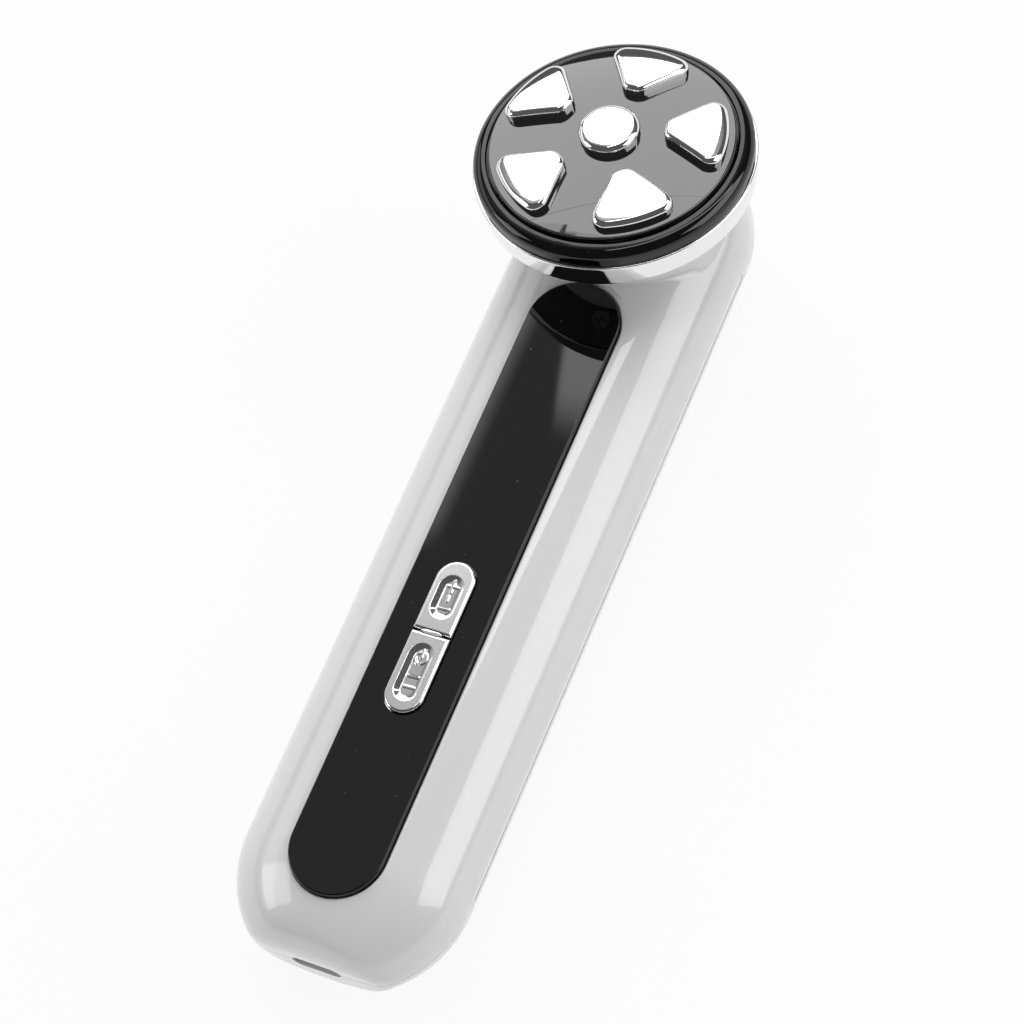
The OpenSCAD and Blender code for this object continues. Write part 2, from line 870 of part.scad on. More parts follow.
module head_plug() {
    color("ivory") head_frame() translate([0, wire_y, 0])
        block(head_plug_size, head_board_z - head_plug_size[2]);
}

// ---- head ----

module head_cup() {
    color("dimgray") head_frame() difference() {
        union() {
            washer(cup_r, cup_in, ring_foot, bezel_foot);
            post(cup_r, ring_foot, cup_floor);
            post(foot_r, ring_foot, ring_foot + foot_t);
            at_neck_screws() post(neck_post_r, ring_foot, neck_post_top);
            at_head_screws() post(floor_boss_r, ring_foot, floor_boss_top);
        }
        at_neck_screws() post(small_hole_r, ring_foot - 1, neck_post_top - 0.3);
        at_head_screws() {
            post(small_hole_r, ring_foot - 1, floor_boss_top + 1);
            post(screw_head_r + slip, ring_foot - 1, ring_foot + pocket_h);
        }
        translate([0, wire_y, 0]) post(wire_hole_r, ring_foot - 1, cup_floor + 1);
    }
}

// Silver ring, narrowing to its foot, with a rebate for the cup's foot
module head_ring() {
    color("silver") head_frame() rotate_extrude() polygon([
        [ring_in, bezel_foot], [ring_top_r - ring_chamfer, bezel_foot],
        [ring_top_r, bezel_foot - ring_chamfer], [ring_foot_r, ring_foot],
        [foot_r + slip, ring_foot], [foot_r + slip, ring_foot + foot_t + slip],
        [ring_in, ring_foot + foot_t + slip]]);
}

module bezel() {
    color("black") head_frame() difference() {
        union() {
            rotate_extrude() {
                intersection() {
                    translate([bead_r, 0]) scale([bead_w, bead_h]) circle(1);
                    translate([bead_r, 0]) square([bead_w + 1, bead_h + 1]);
                }
                translate([face_r + face_gap, ledge_z])
                    square([step_w + eps, step_z - ledge_z]);
                translate([face_r - ledge_w, bezel_foot])
                    square([ledge_w + face_gap + eps, ledge_z - bezel_foot]);
                translate([face_r + face_gap, bezel_foot])
                    square([head_r - face_r - face_gap, -bezel_foot + eps]);
                translate([skirt_r - skirt_wall, boss_foot])
                    square([skirt_wall, bezel_foot - boss_foot + eps]);
            }
            at_head_screws() post(boss_r, boss_foot, ledge_z);
        }
        at_head_screws() post(small_hole_r, boss_foot - 1, bezel_foot + 0.4);
    }
}

module face_gasket() {
    color("dimgray") head_frame() washer(face_r - slip, face_r - ledge_w, ledge_z, face_z);
}

// Ball whose top is the face plate's front, grown or drawn in by "grow"
module dome(grow) { translate([0, 0, dome_c]) sphere(dome_r + grow); }

module face_plate() {
    color("dimgray") head_frame() difference() {
        intersection() {
            post(face_r, face_z, dome_top + 1);
            dome(0);
        }
        intersection() {
            post(face_r - ledge_w, face_z - 1, dome_top);
            dome(-face_t);
        }
        at_stems() post(stem_dia / 2 + slip, face_z - 1, dome_top + 1);
        post(stem_dia / 2 + slip, face_z - 1, dome_top + 1);
    }
}

module neck_gasket() {
    color("gray") head_frame() washer(neck_r, neck_r - wall, neck_top, ring_foot);
}

module head_board() {
    color("darkgreen") head_frame() difference() {
        post(head_board_r, head_board_z, head_board_top);
        at_stems() post(small_hole_r, head_board_z - 1, head_board_top + 1);
        post(small_hole_r, head_board_z - 1, head_board_top + 1);
    }
}

// Outline of one outer electrode along +X: its outer end follows the plate's rim
module electrode_outline() {
    r = electrode_r;
    turn = asin((electrode_w / 2 - r) / (outer_r - r));
    outer = (outer_r - r) * [cos(turn), sin(turn)];
    inner = [electrode_in + r, electrode_w_in / 2 - r];
    side = atan2(outer[1] - inner[1], outer[0] - inner[0]) + 90;
    edge = r * [cos(side), sin(side)];
    half = [[inner[0] - r, inner[1]], inner + edge, outer + edge, outer];
    for (corner = [inner, outer])
        for (s = [-1, 1]) translate([corner[0], s * corner[1]]) circle(r);
    polygon(concat(half, [for (i = [3:-1:0]) [half[i][0], -half[i][1]]]));
    intersection() {
        circle(outer_r);
        polygon([[0, 0], 2 * outer, [2 * outer[0], -2 * outer[1]]]);
        translate([inner[0], -electrode_w]) square(2 * electrode_w);
    }
}

// Stem through the face plate with a hole for its screw
module with_stem(x) {
    difference() {
        union() {
            children();
            translate([x, 0, 0]) post(stem_dia / 2, head_board_top, dome_z(x) + stem_grip);
        }
        translate([x, 0, 0]) post(small_hole_r, head_board_top - 1, face_h - 0.2);
    }
}

module electrode(i) {
    color("silver") head_frame() electrode_turn(i) with_stem(stem_axis) difference() {
        translate([0, 0, dome_c]) rotate([0, asin(stem_axis / dome_r), 0])
            translate([-stem_axis, 0, dome_r]) hull() {
                translate([0, 0, -1]) linear_extrude(electrode_h + 1 - shoulder)
                    electrode_outline();
                translate([0, 0, electrode_h - eps]) linear_extrude(eps)
                    offset(delta = -shoulder) electrode_outline();
            }
        dome(slip);
    }
}

module centre_electrode() {
    r = centre_dia / 2;
    color("silver") head_frame() with_stem(0) difference() {
        rotate_extrude() polygon([[0, dome_top - 1], [r, dome_top - 1],
            [r, dome_top + centre_h - shoulder], [r - shoulder, dome_top + centre_h],
            [0, dome_top + centre_h]]);
        dome(slip);
    }
}

// ---- fasteners ----

module case_screws() {
    color("gray") at_case_screws()
        screw(screw_r, case_screw_l, case_head_r, case_head_h, case_seat_z);
}

module screw_plugs() {
    color("whitesmoke") intersection() {
        at_case_screws() post(case_head_r, 0, case_seat_z - case_head_h - slip);
        handle_body(0);
    }
}

module board_screws() {
    color("gray") at_board_screws()
        screw(small_r, board_t + board_grip, screw_head_r, screw_head_h, board_z);
}

module neck_screws() {
    seat = neck_top - neck_plate;
    color("gray") head_frame() at_neck_screws()
        screw(small_r, neck_post_top - 0.3 - screw_tip_gap - seat, screw_head_r, screw_head_h, seat);
}

module head_screws() {
    seat = ring_foot + pocket_h;
    color("gray") head_frame() at_head_screws()
        screw(small_r, bezel_foot - seat, screw_head_r, screw_head_h, seat);
}

module electrode_screws() {
    color("gray") head_frame() {
        at_stems() screw(small_r, board_t + 2.4, screw_head_r, screw_head_h, head_board_z);
        screw(small_r, board_t + 2.4, screw_head_r, screw_head_h, head_board_z);
    }
}

front_shell();
back_cover();
side_strip_left();
side_strip_right();
inlay_panel();
inlay_adhesive();
level_key();
mode_key();
key_divider();
level_switch();
mode_switch();
level_plunger();
mode_plunger();
light_guide();
status_leds();
main_board();
controller_chip();
charging_socket();
port_gasket();
battery();
battery_pad();
battery_plug();
battery_leads();
pulse_transformer();
storage_capacitor();
motor();
motor_boot();
motor_plug();
motor_leads();
motor_shaft();
offset_weight();
head_connector();
head_harness();
head_plug();
head_cup();
head_ring();
bezel();
face_plate();
face_gasket();
neck_gasket();
head_board();
electrode(1);  // electrode_1
electrode(2);  // electrode_2
electrode(3);  // electrode_3
electrode(4);  // electrode_4
electrode(5);  // electrode_5
centre_electrode();
case_screws();
screw_plugs();
board_screws();
neck_screws();
head_screws();
electrode_screws();
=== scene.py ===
import math

import bmesh
import bpy
import numpy as np
from mathutils import Matrix, Vector


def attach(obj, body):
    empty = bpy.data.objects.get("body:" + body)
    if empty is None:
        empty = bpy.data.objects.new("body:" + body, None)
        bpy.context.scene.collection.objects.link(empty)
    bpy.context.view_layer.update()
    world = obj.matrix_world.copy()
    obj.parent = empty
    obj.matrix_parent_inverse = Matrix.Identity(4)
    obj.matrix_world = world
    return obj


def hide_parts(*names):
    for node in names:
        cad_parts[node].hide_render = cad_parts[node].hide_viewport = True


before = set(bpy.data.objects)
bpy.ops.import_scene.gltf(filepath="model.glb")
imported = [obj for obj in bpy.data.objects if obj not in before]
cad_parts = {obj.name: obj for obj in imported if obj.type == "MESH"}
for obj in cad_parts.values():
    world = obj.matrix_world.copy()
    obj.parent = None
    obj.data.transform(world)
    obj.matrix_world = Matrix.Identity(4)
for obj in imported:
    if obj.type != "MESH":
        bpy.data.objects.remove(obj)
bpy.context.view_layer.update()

# ---- Back cover ----
# The lower half of the handle: one injection moulding in pearl-white ABS, 2 mm thick,
# with a flat land to lie on, screw bosses and ribs for the cell and motor. It closes on
# the front shell's tongue and is held by four screws from below.

MID = 68.28278                              # the lower round end's centre to the middle, mm
SEAM_Z, SIDE_R, HALF_D = 12.6, 21.0, 13.0   # seam height, half the width, half the depth
STRAIGHT, END_CUT, WALL = 127.6, 17.5, 2.0  # between the round ends' centres, to the flat end
MOUTH_W, MOUTH_H = 4.57, 1.7                # half sizes of the charging port's mouth
BOSS_R, PLUG_BORE_R, PILOT_R = 3.4, 2.4, 1.25
LAND_R = SIDE_R * math.sqrt(1 - (SEAM_Z / HALF_D) ** 2)
CASE_SCREWS = [(x, y) for x in (-14.5, 14.5) for y in (8.0, 104.0)]
BATTERY_Y, BATTERY_L, BATTERY_W = 4.0, 53.0, 20.0
MOTOR_Y, MOTOR_Z, BOOT_R, RIB = 104.0, 7.5, 4.9, 1.6


def racetrack(r, y0, y1, ends=56, sides=64):
    """Plan points of a bar with round ends: lower end, right side, upper end, left side."""
    a = np.linspace(0, math.pi, ends, endpoint=False)
    t = np.linspace(0, 1, sides, endpoint=False)
    low = np.c_[-np.cos(a), -np.sin(a)] * r + (0, y0)
    right = np.c_[np.full(sides, r), y0 + (y1 - y0) * t]
    top = np.c_[np.cos(a), np.sin(a)] * r + (0, y1)
    left = np.c_[np.full(sides, -r), y1 + (y0 - y1) * t]
    return np.vstack([low, right, top, left])


def spine_distance(p):
    """Distance in plan from the line that joins the handle's two round ends' centres."""
    return np.hypot(p[:, 0], p[:, 1] - np.clip(p[:, 1], 0, STRAIGHT))


def belly(d, inset=0.0):
    """Rise of the oval section above the seam at a plan distance from the spine."""
    return (HALF_D - inset) * np.sqrt(np.clip(1 - (d / (SIDE_R - inset)) ** 2, 0, None))


def casing_outline(inset=0.0, ends=56, sides=64):
    """The handle in plan at its seam: a racetrack whose lower end is cut flat."""
    p = racetrack(SIDE_R - inset, 0, STRAIGHT, ends, sides)
    cut = np.clip(-p[:, 1], 0, None) / (END_CUT - inset)
    return p / ((1 + cut ** 30) ** (1 / 30))[:, None] * (cut > 0)[:, None] + p * (cut <= 0)[:, None]


def skin(inner, outer, rows, soften, inset=0.0):
    """Rows of points from an inner plan outline over the oval to the seam, the corner to
    the flat end rounded; each column is sampled evenly along its own profile."""
    t = np.linspace(0, 1, 160)[:, None, None]
    plan = inner[None] * (1 - t) + outer[None] * t
    out = np.zeros((rows, len(inner), 3))
    for j in range(len(inner)):
        p = plan[:, j]
        z = belly(spine_distance(p), inset)
        run = np.hypot(*(p - p[0]).T)
        path = np.c_[run, z]
        h = z[-1]
        if h > 0.02:
            back = min(soften * h, 0.6 * run[-1])
            i = max(1, int(np.searchsorted(run, run[-1] - back)) - 1)
            slope = (path[i] - path[i - 1]) / np.linalg.norm(path[i] - path[i - 1])
            b0 = path[i]
            b1 = b0 + slope * (run[-1] - b0[0]) / slope[0]
            b2 = np.array([run[-1], h * (1 - soften)])
            u = np.linspace(0, 1, 40)[:, None]
            bend = (1 - u) ** 2 * b0 + 2 * u * (1 - u) * b1 + u ** 2 * b2
            down = np.linspace(b2, [run[-1], 0], 20)
            path = np.vstack([path[:i], bend, down[1:]])
        s = np.r_[0, np.cumsum(np.linalg.norm(np.diff(path, axis=0), axis=1))]
        want = np.linspace(0, s[-1], rows)
        r, z = np.interp(want, s, path[:, 0]), np.interp(want, s, path[:, 1])
        way = (outer[j] - inner[j]) / np.linalg.norm(outer[j] - inner[j])
        out[:, j, :2] = inner[j] + r[:, None] * way
        out[:, j, 2] = z
    return out


def level(plan, z):
    """One row of points: a plan outline at a height."""
    return np.c_[plan, np.broadcast_to(z, len(plan))]


def mesh_of(name, points, faces, crisp=35):
    """A mesh in metres in the row frame, from points in mm from the lower end's centre."""
    me = bpy.data.meshes.new(name)
    me.from_pydata(((np.reshape(points, (-1, 3)) - (0, MID, 0)) * 0.001).tolist(), [], faces)
    tidy(me, crisp)
    return me


def closed_mesh(name, rows, crisp=35):
    """A solid from rows of points round it, with a flat face over the first and last row."""
    rows = np.asarray(rows, float)
    n_rows, n = rows.shape[:2]
    i, j = np.meshgrid(np.arange(n_rows - 1), np.arange(n), indexing="ij")
    k = (j + 1) % n
    quads = np.stack([i * n + j, i * n + k, (i + 1) * n + k, (i + 1) * n + j], -1).reshape(-1, 4)
    faces = quads.tolist() + [list(range(n))[::-1], list(range((n_rows - 1) * n, n_rows * n))]
    return mesh_of(name, rows, faces, crisp)


def tidy(me, crisp=35):
    """Merges seams and poles, turns the faces outwards and shades smooth but for edges."""
    bm = bmesh.new()
    bm.from_mesh(me)
    bmesh.ops.remove_doubles(bm, verts=bm.verts, dist=2e-6)
    bmesh.ops.dissolve_degenerate(bm, dist=1e-7, edges=bm.edges)
    bmesh.ops.recalc_face_normals(bm, faces=bm.faces)
    bm.to_mesh(me)
    bm.free()
    me.shade_smooth()
    me.set_sharp_from_angle(angle=math.radians(crisp))


def block(x0, x1, y0, y1, z0, z1):
    """Box between two corners, as a tool for cutting or adding."""
    plan = np.array([[x0, y0], [x1, y0], [x1, y1], [x0, y1]], float)
    return closed_mesh("tool", [level(plan, z0), level(plan, z1)])


def rod(x, y, r, z0, z1, n=40):
    """Upright cylinder, as a tool for cutting or adding."""
    a = np.linspace(0, 2 * math.pi, n, endpoint=False)
    plan = np.c_[x + r * np.cos(a), y + r * np.sin(a)]
    return closed_mesh("tool", [level(plan, z0), level(plan, z1)])


def shaped(me, steps, crisp=35):
    """Adds solids to a mesh or cuts them from it, one (operation, mesh) after another."""
    base = bpy.data.objects.new(me.name, me)
    bpy.context.scene.collection.objects.link(base)
    tools = []
    for what, tool in steps:
        o = bpy.data.objects.new("tool", tool)
        bpy.context.scene.collection.objects.link(o)
        tools.append(o)
        mod = base.modifiers.new("cut", "BOOLEAN")
        mod.operation, mod.solver, mod.object = what, "MANIFOLD", o
    bpy.context.view_layer.update()
    done = bpy.data.meshes.new_from_object(base.evaluated_get(bpy.context.evaluated_depsgraph_get()))
    for o in [base] + tools:
        bpy.data.objects.remove(o)
    done.name = me.name
    tidy(done, crisp)
    return done


def without(me, tools, crisp=35):
    """A mesh less each of the tools."""
    return shaped(me, [("DIFFERENCE", tool) for tool in tools], crisp)


def inner_body(inset):
    """The handle's own shape drawn in by a wall, whole, as a tool."""
    edge = casing_outline(inset, 40, 12)
    crest = racetrack(0.4, 0, STRAIGHT, 40, 12)
    up = skin(crest, edge, 26, 0.1, inset)
    down = up[::-1].copy()
    up[:, :, 2] += SEAM_Z
    down[:, :, 2] = SEAM_Z - down[:, :, 2]
    return closed_mesh("tool", np.concatenate([up, down[1:]]))


def obround_row(half_w, half_h, y, n):
    """Points of an obround section across the handle's end, n to each round end."""
    a = np.linspace(-math.pi / 2, math.pi / 2, n)
    x = np.r_[(half_w - half_h) + half_h * np.cos(a), -(half_w - half_h) - half_h * np.cos(a)]
    z = np.r_[half_h * np.sin(a), -half_h * np.sin(a)] + SEAM_Z
    return np.c_[x, np.full(2 * n, y), z]


def seam_openings():
    """What both shells leave open at the seam: the port's mouth and the strips' grooves."""
    tools = [closed_mesh("tool", [obround_row(MOUTH_W, MOUTH_H, y, 14) for y in (-19, -13)])]
    for side in (-1, 1):
        x0, x1 = sorted((side * 20.0, side * 24.0))
        tools.append(block(x0, x1, 1.95, 125.65, SEAM_Z - 0.6, SEAM_Z + 0.6))
    return tools


def piece(me, node, body, material):
    """Puts a finished mesh in the scene in place of its CAD node."""
    o = bpy.data.objects.new(me.name, me)
    bpy.context.scene.collection.objects.link(o)
    me.materials.clear()
    me.materials.append(material)
    even = o.modifiers.new("even shading", "WEIGHTED_NORMAL")
    even.keep_sharp = True
    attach(o, body)
    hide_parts(node)
    return o


class Wire:
    """A shader socket that adds Math nodes when it is used in an expression."""

    def __init__(self, tree, socket):
        self.tree, self.socket = tree, socket

    def math(self, operation, a, b):
        return node(self.tree, "ShaderNodeMath", {"operation": operation}, {0: a, 1: b})

    def __add__(self, o): return self.math("ADD", self, o)
    def __radd__(self, o): return self.math("ADD", o, self)
    def __sub__(self, o): return self.math("SUBTRACT", self, o)
    def __rsub__(self, o): return self.math("SUBTRACT", o, self)
    def __mul__(self, o): return self.math("MULTIPLY", self, o)
    def __rmul__(self, o): return self.math("MULTIPLY", o, self)


def node(tree, kind, settings=None, sockets=None, out=0):
    """Adds a node: its settings first, then the values or links of its sockets."""
    n = tree.nodes.new(kind)
    for key, value in (settings or {}).items():
        setattr(n, key, value)
    for key, value in (sockets or {}).items():
        if isinstance(value, Wire):
            tree.links.new(value.socket, n.inputs[key])
        else:
            n.inputs[key].default_value = value
    return Wire(tree, n.outputs[out]) if n.outputs else n


def finish(name, **fixed):
    """A material with a Principled shader; returns it with its tree, shader and coordinates."""
    mat = bpy.data.materials.new(name)
    mat.use_nodes = True
    tree = mat.node_tree
    shader = tree.nodes["Principled BSDF"]
    for key, value in fixed.items():
        shader.inputs[key.replace("_", " ")].default_value = value
    where = node(tree, "ShaderNodeTexCoord", out="Object")
    return mat, tree, shader, where


def noise(tree, where, scale, detail=2.0):
    """Smooth noise from 0 to 1, its scale in cells to the metre."""
    return node(tree, "ShaderNodeTexNoise", {}, {"Vector": where, "Scale": scale, "Detail": detail}, "Fac")


def above(tree, value, start, end):
    """0 up to the start, 1 from the end on and even between."""
    return node(tree, "ShaderNodeMapRange", {}, {0: value, 1: start, 2: end, 3: 0.0, 4: 1.0})


def blend(tree, mask, a, b):
    """Mixes two colours by a mask."""
    return node(tree, "ShaderNodeMix", {"data_type": "RGBA"}, {0: mask, 6: a, 7: b}, 2)


def feed(tree, shader, **links):
    """Links wires to a shader's sockets by name."""
    for key, wire in links.items():
        tree.links.new(wire.socket, shader.inputs[key.replace("_", " ")])


pearl, t, s, where = finish("pearl_white", IOR=1.5, Coat_Weight=1.0, Coat_Roughness=0.02)
fleck = above(t, noise(t, where, 3400, 1.0), 0.52, 0.72)
cloud = noise(t, where, 60)
tone = blend(t, cloud, (0.67, 0.67, 0.675, 1), (0.69, 0.69, 0.69, 1))
feed(t, s, Base_Color=blend(t, fleck, tone, (0.71, 0.71, 0.715, 1)),
     Roughness=0.3 + 0.06 * cloud - 0.08 * fleck,
     Normal=node(t, "ShaderNodeBump", {}, {"Strength": 0.02, "Distance": 0.00002, "Height": fleck}))

back_skin = skin(racetrack(LAND_R, 0, STRAIGHT), casing_outline(), 50, 0.3)
back_skin[:, :, 2] = SEAM_Z - back_skin[:, :, 2]
back_skin[0, :, 2] = 0
lip = back_skin[-1].copy()
lip[:, 2] -= 0.09
lip_in = level(casing_outline(0.1), SEAM_Z)
back_body = np.concatenate([back_skin[:-1], [lip, lip_in]])
fill = [rod(x, y, BOSS_R, -1, 11.1) for x, y in CASE_SCREWS]
for y in (BATTERY_Y + 4, BATTERY_Y + BATTERY_L / 2, BATTERY_Y + BATTERY_L - 4):
    fill.append(block(-BATTERY_W / 2 - RIB, BATTERY_W / 2 + RIB, y - RIB / 2, y + RIB / 2, -1, 3))
for side in (-1, 1):
    x = side * (BATTERY_W / 2 + 0.1 + RIB / 2)
    fill.append(block(x - RIB / 2, x + RIB / 2, BATTERY_Y + 4, BATTERY_Y + BATTERY_L - 4, -1, 8))
for y in (BATTERY_Y - 0.1 - RIB / 2, BATTERY_Y + BATTERY_L + 0.1 + RIB / 2):
    fill.append(block(-BATTERY_W / 4, BATTERY_W / 4, y - RIB / 2, y + RIB / 2, -1, 6.6))
for y in (MOTOR_Y + 3, MOTOR_Y + 13):
    half_w, top = BOOT_R + 1.5 * RIB, MOTOR_Z + BOOT_R / 2
    fork = block(-half_w, half_w, y - RIB / 2, y + RIB / 2, -1, top)
    a = np.linspace(0, 2 * math.pi, 48, endpoint=False)
    seat_r = BOOT_R + 0.05
    seat = [np.c_[seat_r * np.cos(a), np.full(48, end), MOTOR_Z + seat_r * np.sin(a)] for end in (y - 2, y + 2)]
    mouth = seat_r * math.cos(math.radians(30))
    fill.append(without(fork, [closed_mesh("tool", seat), block(-mouth, mouth, y - 2, y + 2, top, 20)]))
hollow = without(inner_body(WALL), fill)
rebate = without(inner_body(WALL / 2), [block(-40, 40, -40, 180, -5, SEAM_Z - 1.5)])
cuts = [hollow, rebate] + seam_openings()
for x, y in CASE_SCREWS:
    cuts += [rod(x, y, PLUG_BORE_R, -1, 6.6), rod(x, y, PILOT_R, 5, 14)]
back = without(closed_mesh("back_cover_shell", back_body), cuts)
piece(back, "back_cover", "casing", pearl)

# ---- Front shell ----
# The upper half, moulded in the same pearl-white ABS together with the short neck that
# carries the head. It has a recess for the inlay, wells for the keys and screw posts,
# and its tongue drops into the back cover's rebate.

LAND_Z, POCKET_Z, DECK_Z, INLAY_L = 24.85, 23.7, 21.9, 102.0    # beside, under and below the inlay
SPLIT_Y, KEY_LOW, KEY_HIGH = 39.85, 28.4, 50.0                  # the keys' split and round ends
HEAD_Y, HEAD_Z, TILT = 129.5, 39.7, math.radians(9.5)
NECK_R, NECK_BORE_R, NECK_N = 15.5, 13.5, 160
POST_R, BOARD_POST_R, BOARD_PILOT_R, HEAD_PILOT_R, CABLE_R = 2.8, 2.2, 1.0, 1.0, 2.0
BOARD_SCREWS = [(x, y) for x in (-8, 8) for y in (0, 84)]


def in_head(p):
    """Points in the head's own frame (z along its axis) to the handle's frame."""
    x, y, z = np.asarray(p, float).reshape(-1, 3).T
    c, s = math.cos(TILT), math.sin(TILT)
    return np.c_[x, HEAD_Y + y * c + z * s, HEAD_Z - y * s + z * c].reshape(np.shape(p))


def ring_rows(profile, n):
    """Rows of points that turn (radius, height) pairs round the head's axis."""
    a = np.linspace(0, 2 * math.pi, n, endpoint=False)
    return np.array([np.c_[r * np.cos(a), r * np.sin(a), np.full(n, z)] for r, z in profile])


def head_rod(x, y, r, z0, z1, n=40):
    """Cylinder along the head's axis, as a tool."""
    return closed_mesh("tool", in_head(ring_rows([(r, z0), (r, z1)], n) + (x, y, 0)))


def round_axis(radius, first, step, count):
    """Points in plan on a circle round the head's axis, at angles in degrees."""
    turns = [math.radians(first + step * i) for i in range(count)]
    return [(radius * math.cos(b), radius * math.sin(b)) for b in turns]


def surface_z(p):
    """Height of the front's oval surface over points in plan."""
    return SEAM_Z + belly(spine_distance(p))


NECK_SCREWS = round_axis(10, 270, 120, 3)
front_skin = skin(racetrack(10.0, 0, INLAY_L), casing_outline(), 64, 0.62)
front_skin[:, :, 2] += SEAM_Z
mouth_rows = []
for r, drop in ((8.7, None), (8.7, 0.36), (8.73, 0.22), (8.81, 0.1), (8.92, 0.03), (9.06, 0.0),
                (9.3, 0.0), (9.7, 0.0), (9.88, 0.0)):
    p = racetrack(r, 0, INLAY_L)
    mouth_rows.append(level(p, POCKET_Z if drop is None else np.minimum(surface_z(p), LAND_Z) - drop))
lip = front_skin[-1].copy()
lip[:, 2] += 0.09
front_body = np.concatenate([mouth_rows, front_skin[:-1], [lip, lip_in]])

# the neck and its foot fillet, which runs out onto the handle's surface
a = np.linspace(0, 2 * math.pi, NECK_N, endpoint=False)
ray = np.c_[np.cos(a), np.sin(a)]
fillet = 0.7 + 3.1 * np.clip((ray[:, 1] + 0.86) / 0.5, 0, 1) ** 2
collar = ((16.7, -6.8), (16.95, -6.9), (17.0, -7.1), (16.6, -7.7), (16.0, -8.5), (15.62, -9.3), (NECK_R, -10.0))
neck_rows = [in_head(np.c_[r * ray, np.full(NECK_N, z)]) for r, z in collar]


def on_neck(z):
    """The neck's wall at a height of the handle's frame, one height for each ray."""
    h = (z - HEAD_Z + NECK_R * ray[:, 1] * math.sin(TILT)) / math.cos(TILT)
    return in_head(np.c_[NECK_R * ray, h])


z = np.full(NECK_N, 21.0)
for _ in range(30):
    z = 0.5 * z + 0.5 * surface_z(on_neck(z)[:, :2])
foot = on_neck(z)
start = on_neck(z + 1.3 * fillet)
land = foot[:, :2] + ray * fillet[:, None]
land = np.c_[land, surface_z(land) - 0.02]
for u in np.linspace(0, 1, 9):
    neck_rows.append((1 - u) ** 2 * start + 2 * u * (1 - u) * foot + u ** 2 * land)
under = land.copy()
under[:, :2] = foot[:, :2] * 0.98 + np.array([0, HEAD_Y]) * 0.02
under[:, 2] = SEAM_Z + 0.5
neck_rows.append(under)
neck = closed_mesh("tool", neck_rows)
neck_hollow = without(head_rod(0, 0, NECK_BORE_R, -24.0, -8.4, 72), [block(-40, 40, 60, 180, 0, SEAM_Z + 0.01)])
posts = [rod(x, y, POST_R, SEAM_Z, 30) for x, y in CASE_SCREWS]
posts += [rod(x, y, BOARD_POST_R, 15.8, 30) for x, y in BOARD_SCREWS]
deck_plan = racetrack(10.4, 0, INLAY_L, 24, 4)
posts.append(closed_mesh("tool", [level(deck_plan, DECK_Z), level(deck_plan, 30)]))
hollow = without(inner_body(WALL), posts)
tongue = without(inner_body(WALL / 2 + 0.1), [block(-40, 40, -40, 180, SEAM_Z + 1, 40),
                                              block(-40, 40, -40, 180, -5, SEAM_Z - 1.4)])
well = racetrack(4.75, KEY_LOW, KEY_HIGH, 24, 4)
wells = without(closed_mesh("tool", [level(well, DECK_Z - 1), level(well, 30)]),
                [block(-30, 30, SPLIT_Y - 0.8, SPLIT_Y + 0.8, 10, 40)])
light_slot = block(-2.1, 2.1, 59.9, 76.1, DECK_Z - 1, 24.5)
cuts = [hollow, neck_hollow, wells, light_slot, rod(0, SPLIT_Y, 0.6, DECK_Z - 1, 30)] + seam_openings()
cuts += [rod(x, y, PILOT_R, 11, 19.1) for x, y in CASE_SCREWS]
cuts += [rod(x, y, BOARD_PILOT_R, 14.8, 20.8) for x, y in BOARD_SCREWS]
cuts += [head_rod(x, y, HEAD_PILOT_R, -9.4, -5.8, 32) for x, y in NECK_SCREWS]
cuts.append(head_rod(0, 6, CABLE_R, -9.4, -5.8))
front = shaped(closed_mesh("front_shell_with_neck", front_body),
               [("UNION", neck), ("UNION", tongue)] + [("DIFFERENCE", m) for m in cuts])
piece(front, "front_shell", "casing", pearl)

# ---- Side strips ----
# Two thin trims of chrome-plated ABS that are glued into the seam's groove along the
# handle's straight sides. Their faces are slightly crowned, so they read as a bright line.

chrome, t, s, where = finish("bright_chrome", Metallic=1.0)
haze = noise(t, where, 700, 3.0)
feed(t, s, Base_Color=blend(t, haze, (0.80, 0.80, 0.81, 1), (0.86, 0.86, 0.87, 1)),
     Roughness=0.03 + 0.03 * haze)

STRIP_IN, STRIP_EDGE, STRIP_OUT, STRIP_H, CROWN = 20.05, 20.7, 20.8, 0.55, 0.12
u = np.linspace(-1, 1, 13)
face = np.c_[STRIP_OUT + CROWN * (1 - u ** 2), SEAM_Z + 0.5 * u]
section = np.vstack([[STRIP_IN, SEAM_Z - STRIP_H], [STRIP_EDGE, SEAM_Z - STRIP_H], face,
                     [STRIP_EDGE, SEAM_Z + STRIP_H], [STRIP_IN, SEAM_Z + STRIP_H]])
for side, label in ((-1, "side_strip_left"), (1, "side_strip_right")):
    rows = [np.c_[side * section[:, 0], np.full(len(section), y), section[:, 1]]
            for y in np.linspace(2.0, 125.6, 24)]
    piece(closed_mesh(label + "_trim", rows, 50), label, "casing", chrome)

# ---- Inlay ----
# A flat bar of piano-black acrylic with rounded edges, 1.6 mm thick, that is bonded into
# the recess and carries the opening for the keys. Its surface is polished and shows dust.

gloss, t, s, where = finish("piano_black", IOR=1.49, Coat_Weight=0.0)
dust = above(t, noise(t, where, 900, 1.0), 0.74, 0.8)
wipe = noise(t, where, 45, 3.0)
feed(t, s, Base_Color=blend(t, dust, (0.002, 0.002, 0.002, 1), (0.03, 0.03, 0.03, 1)),
     Roughness=0.01 + 0.015 * wipe + 0.1 * dust)

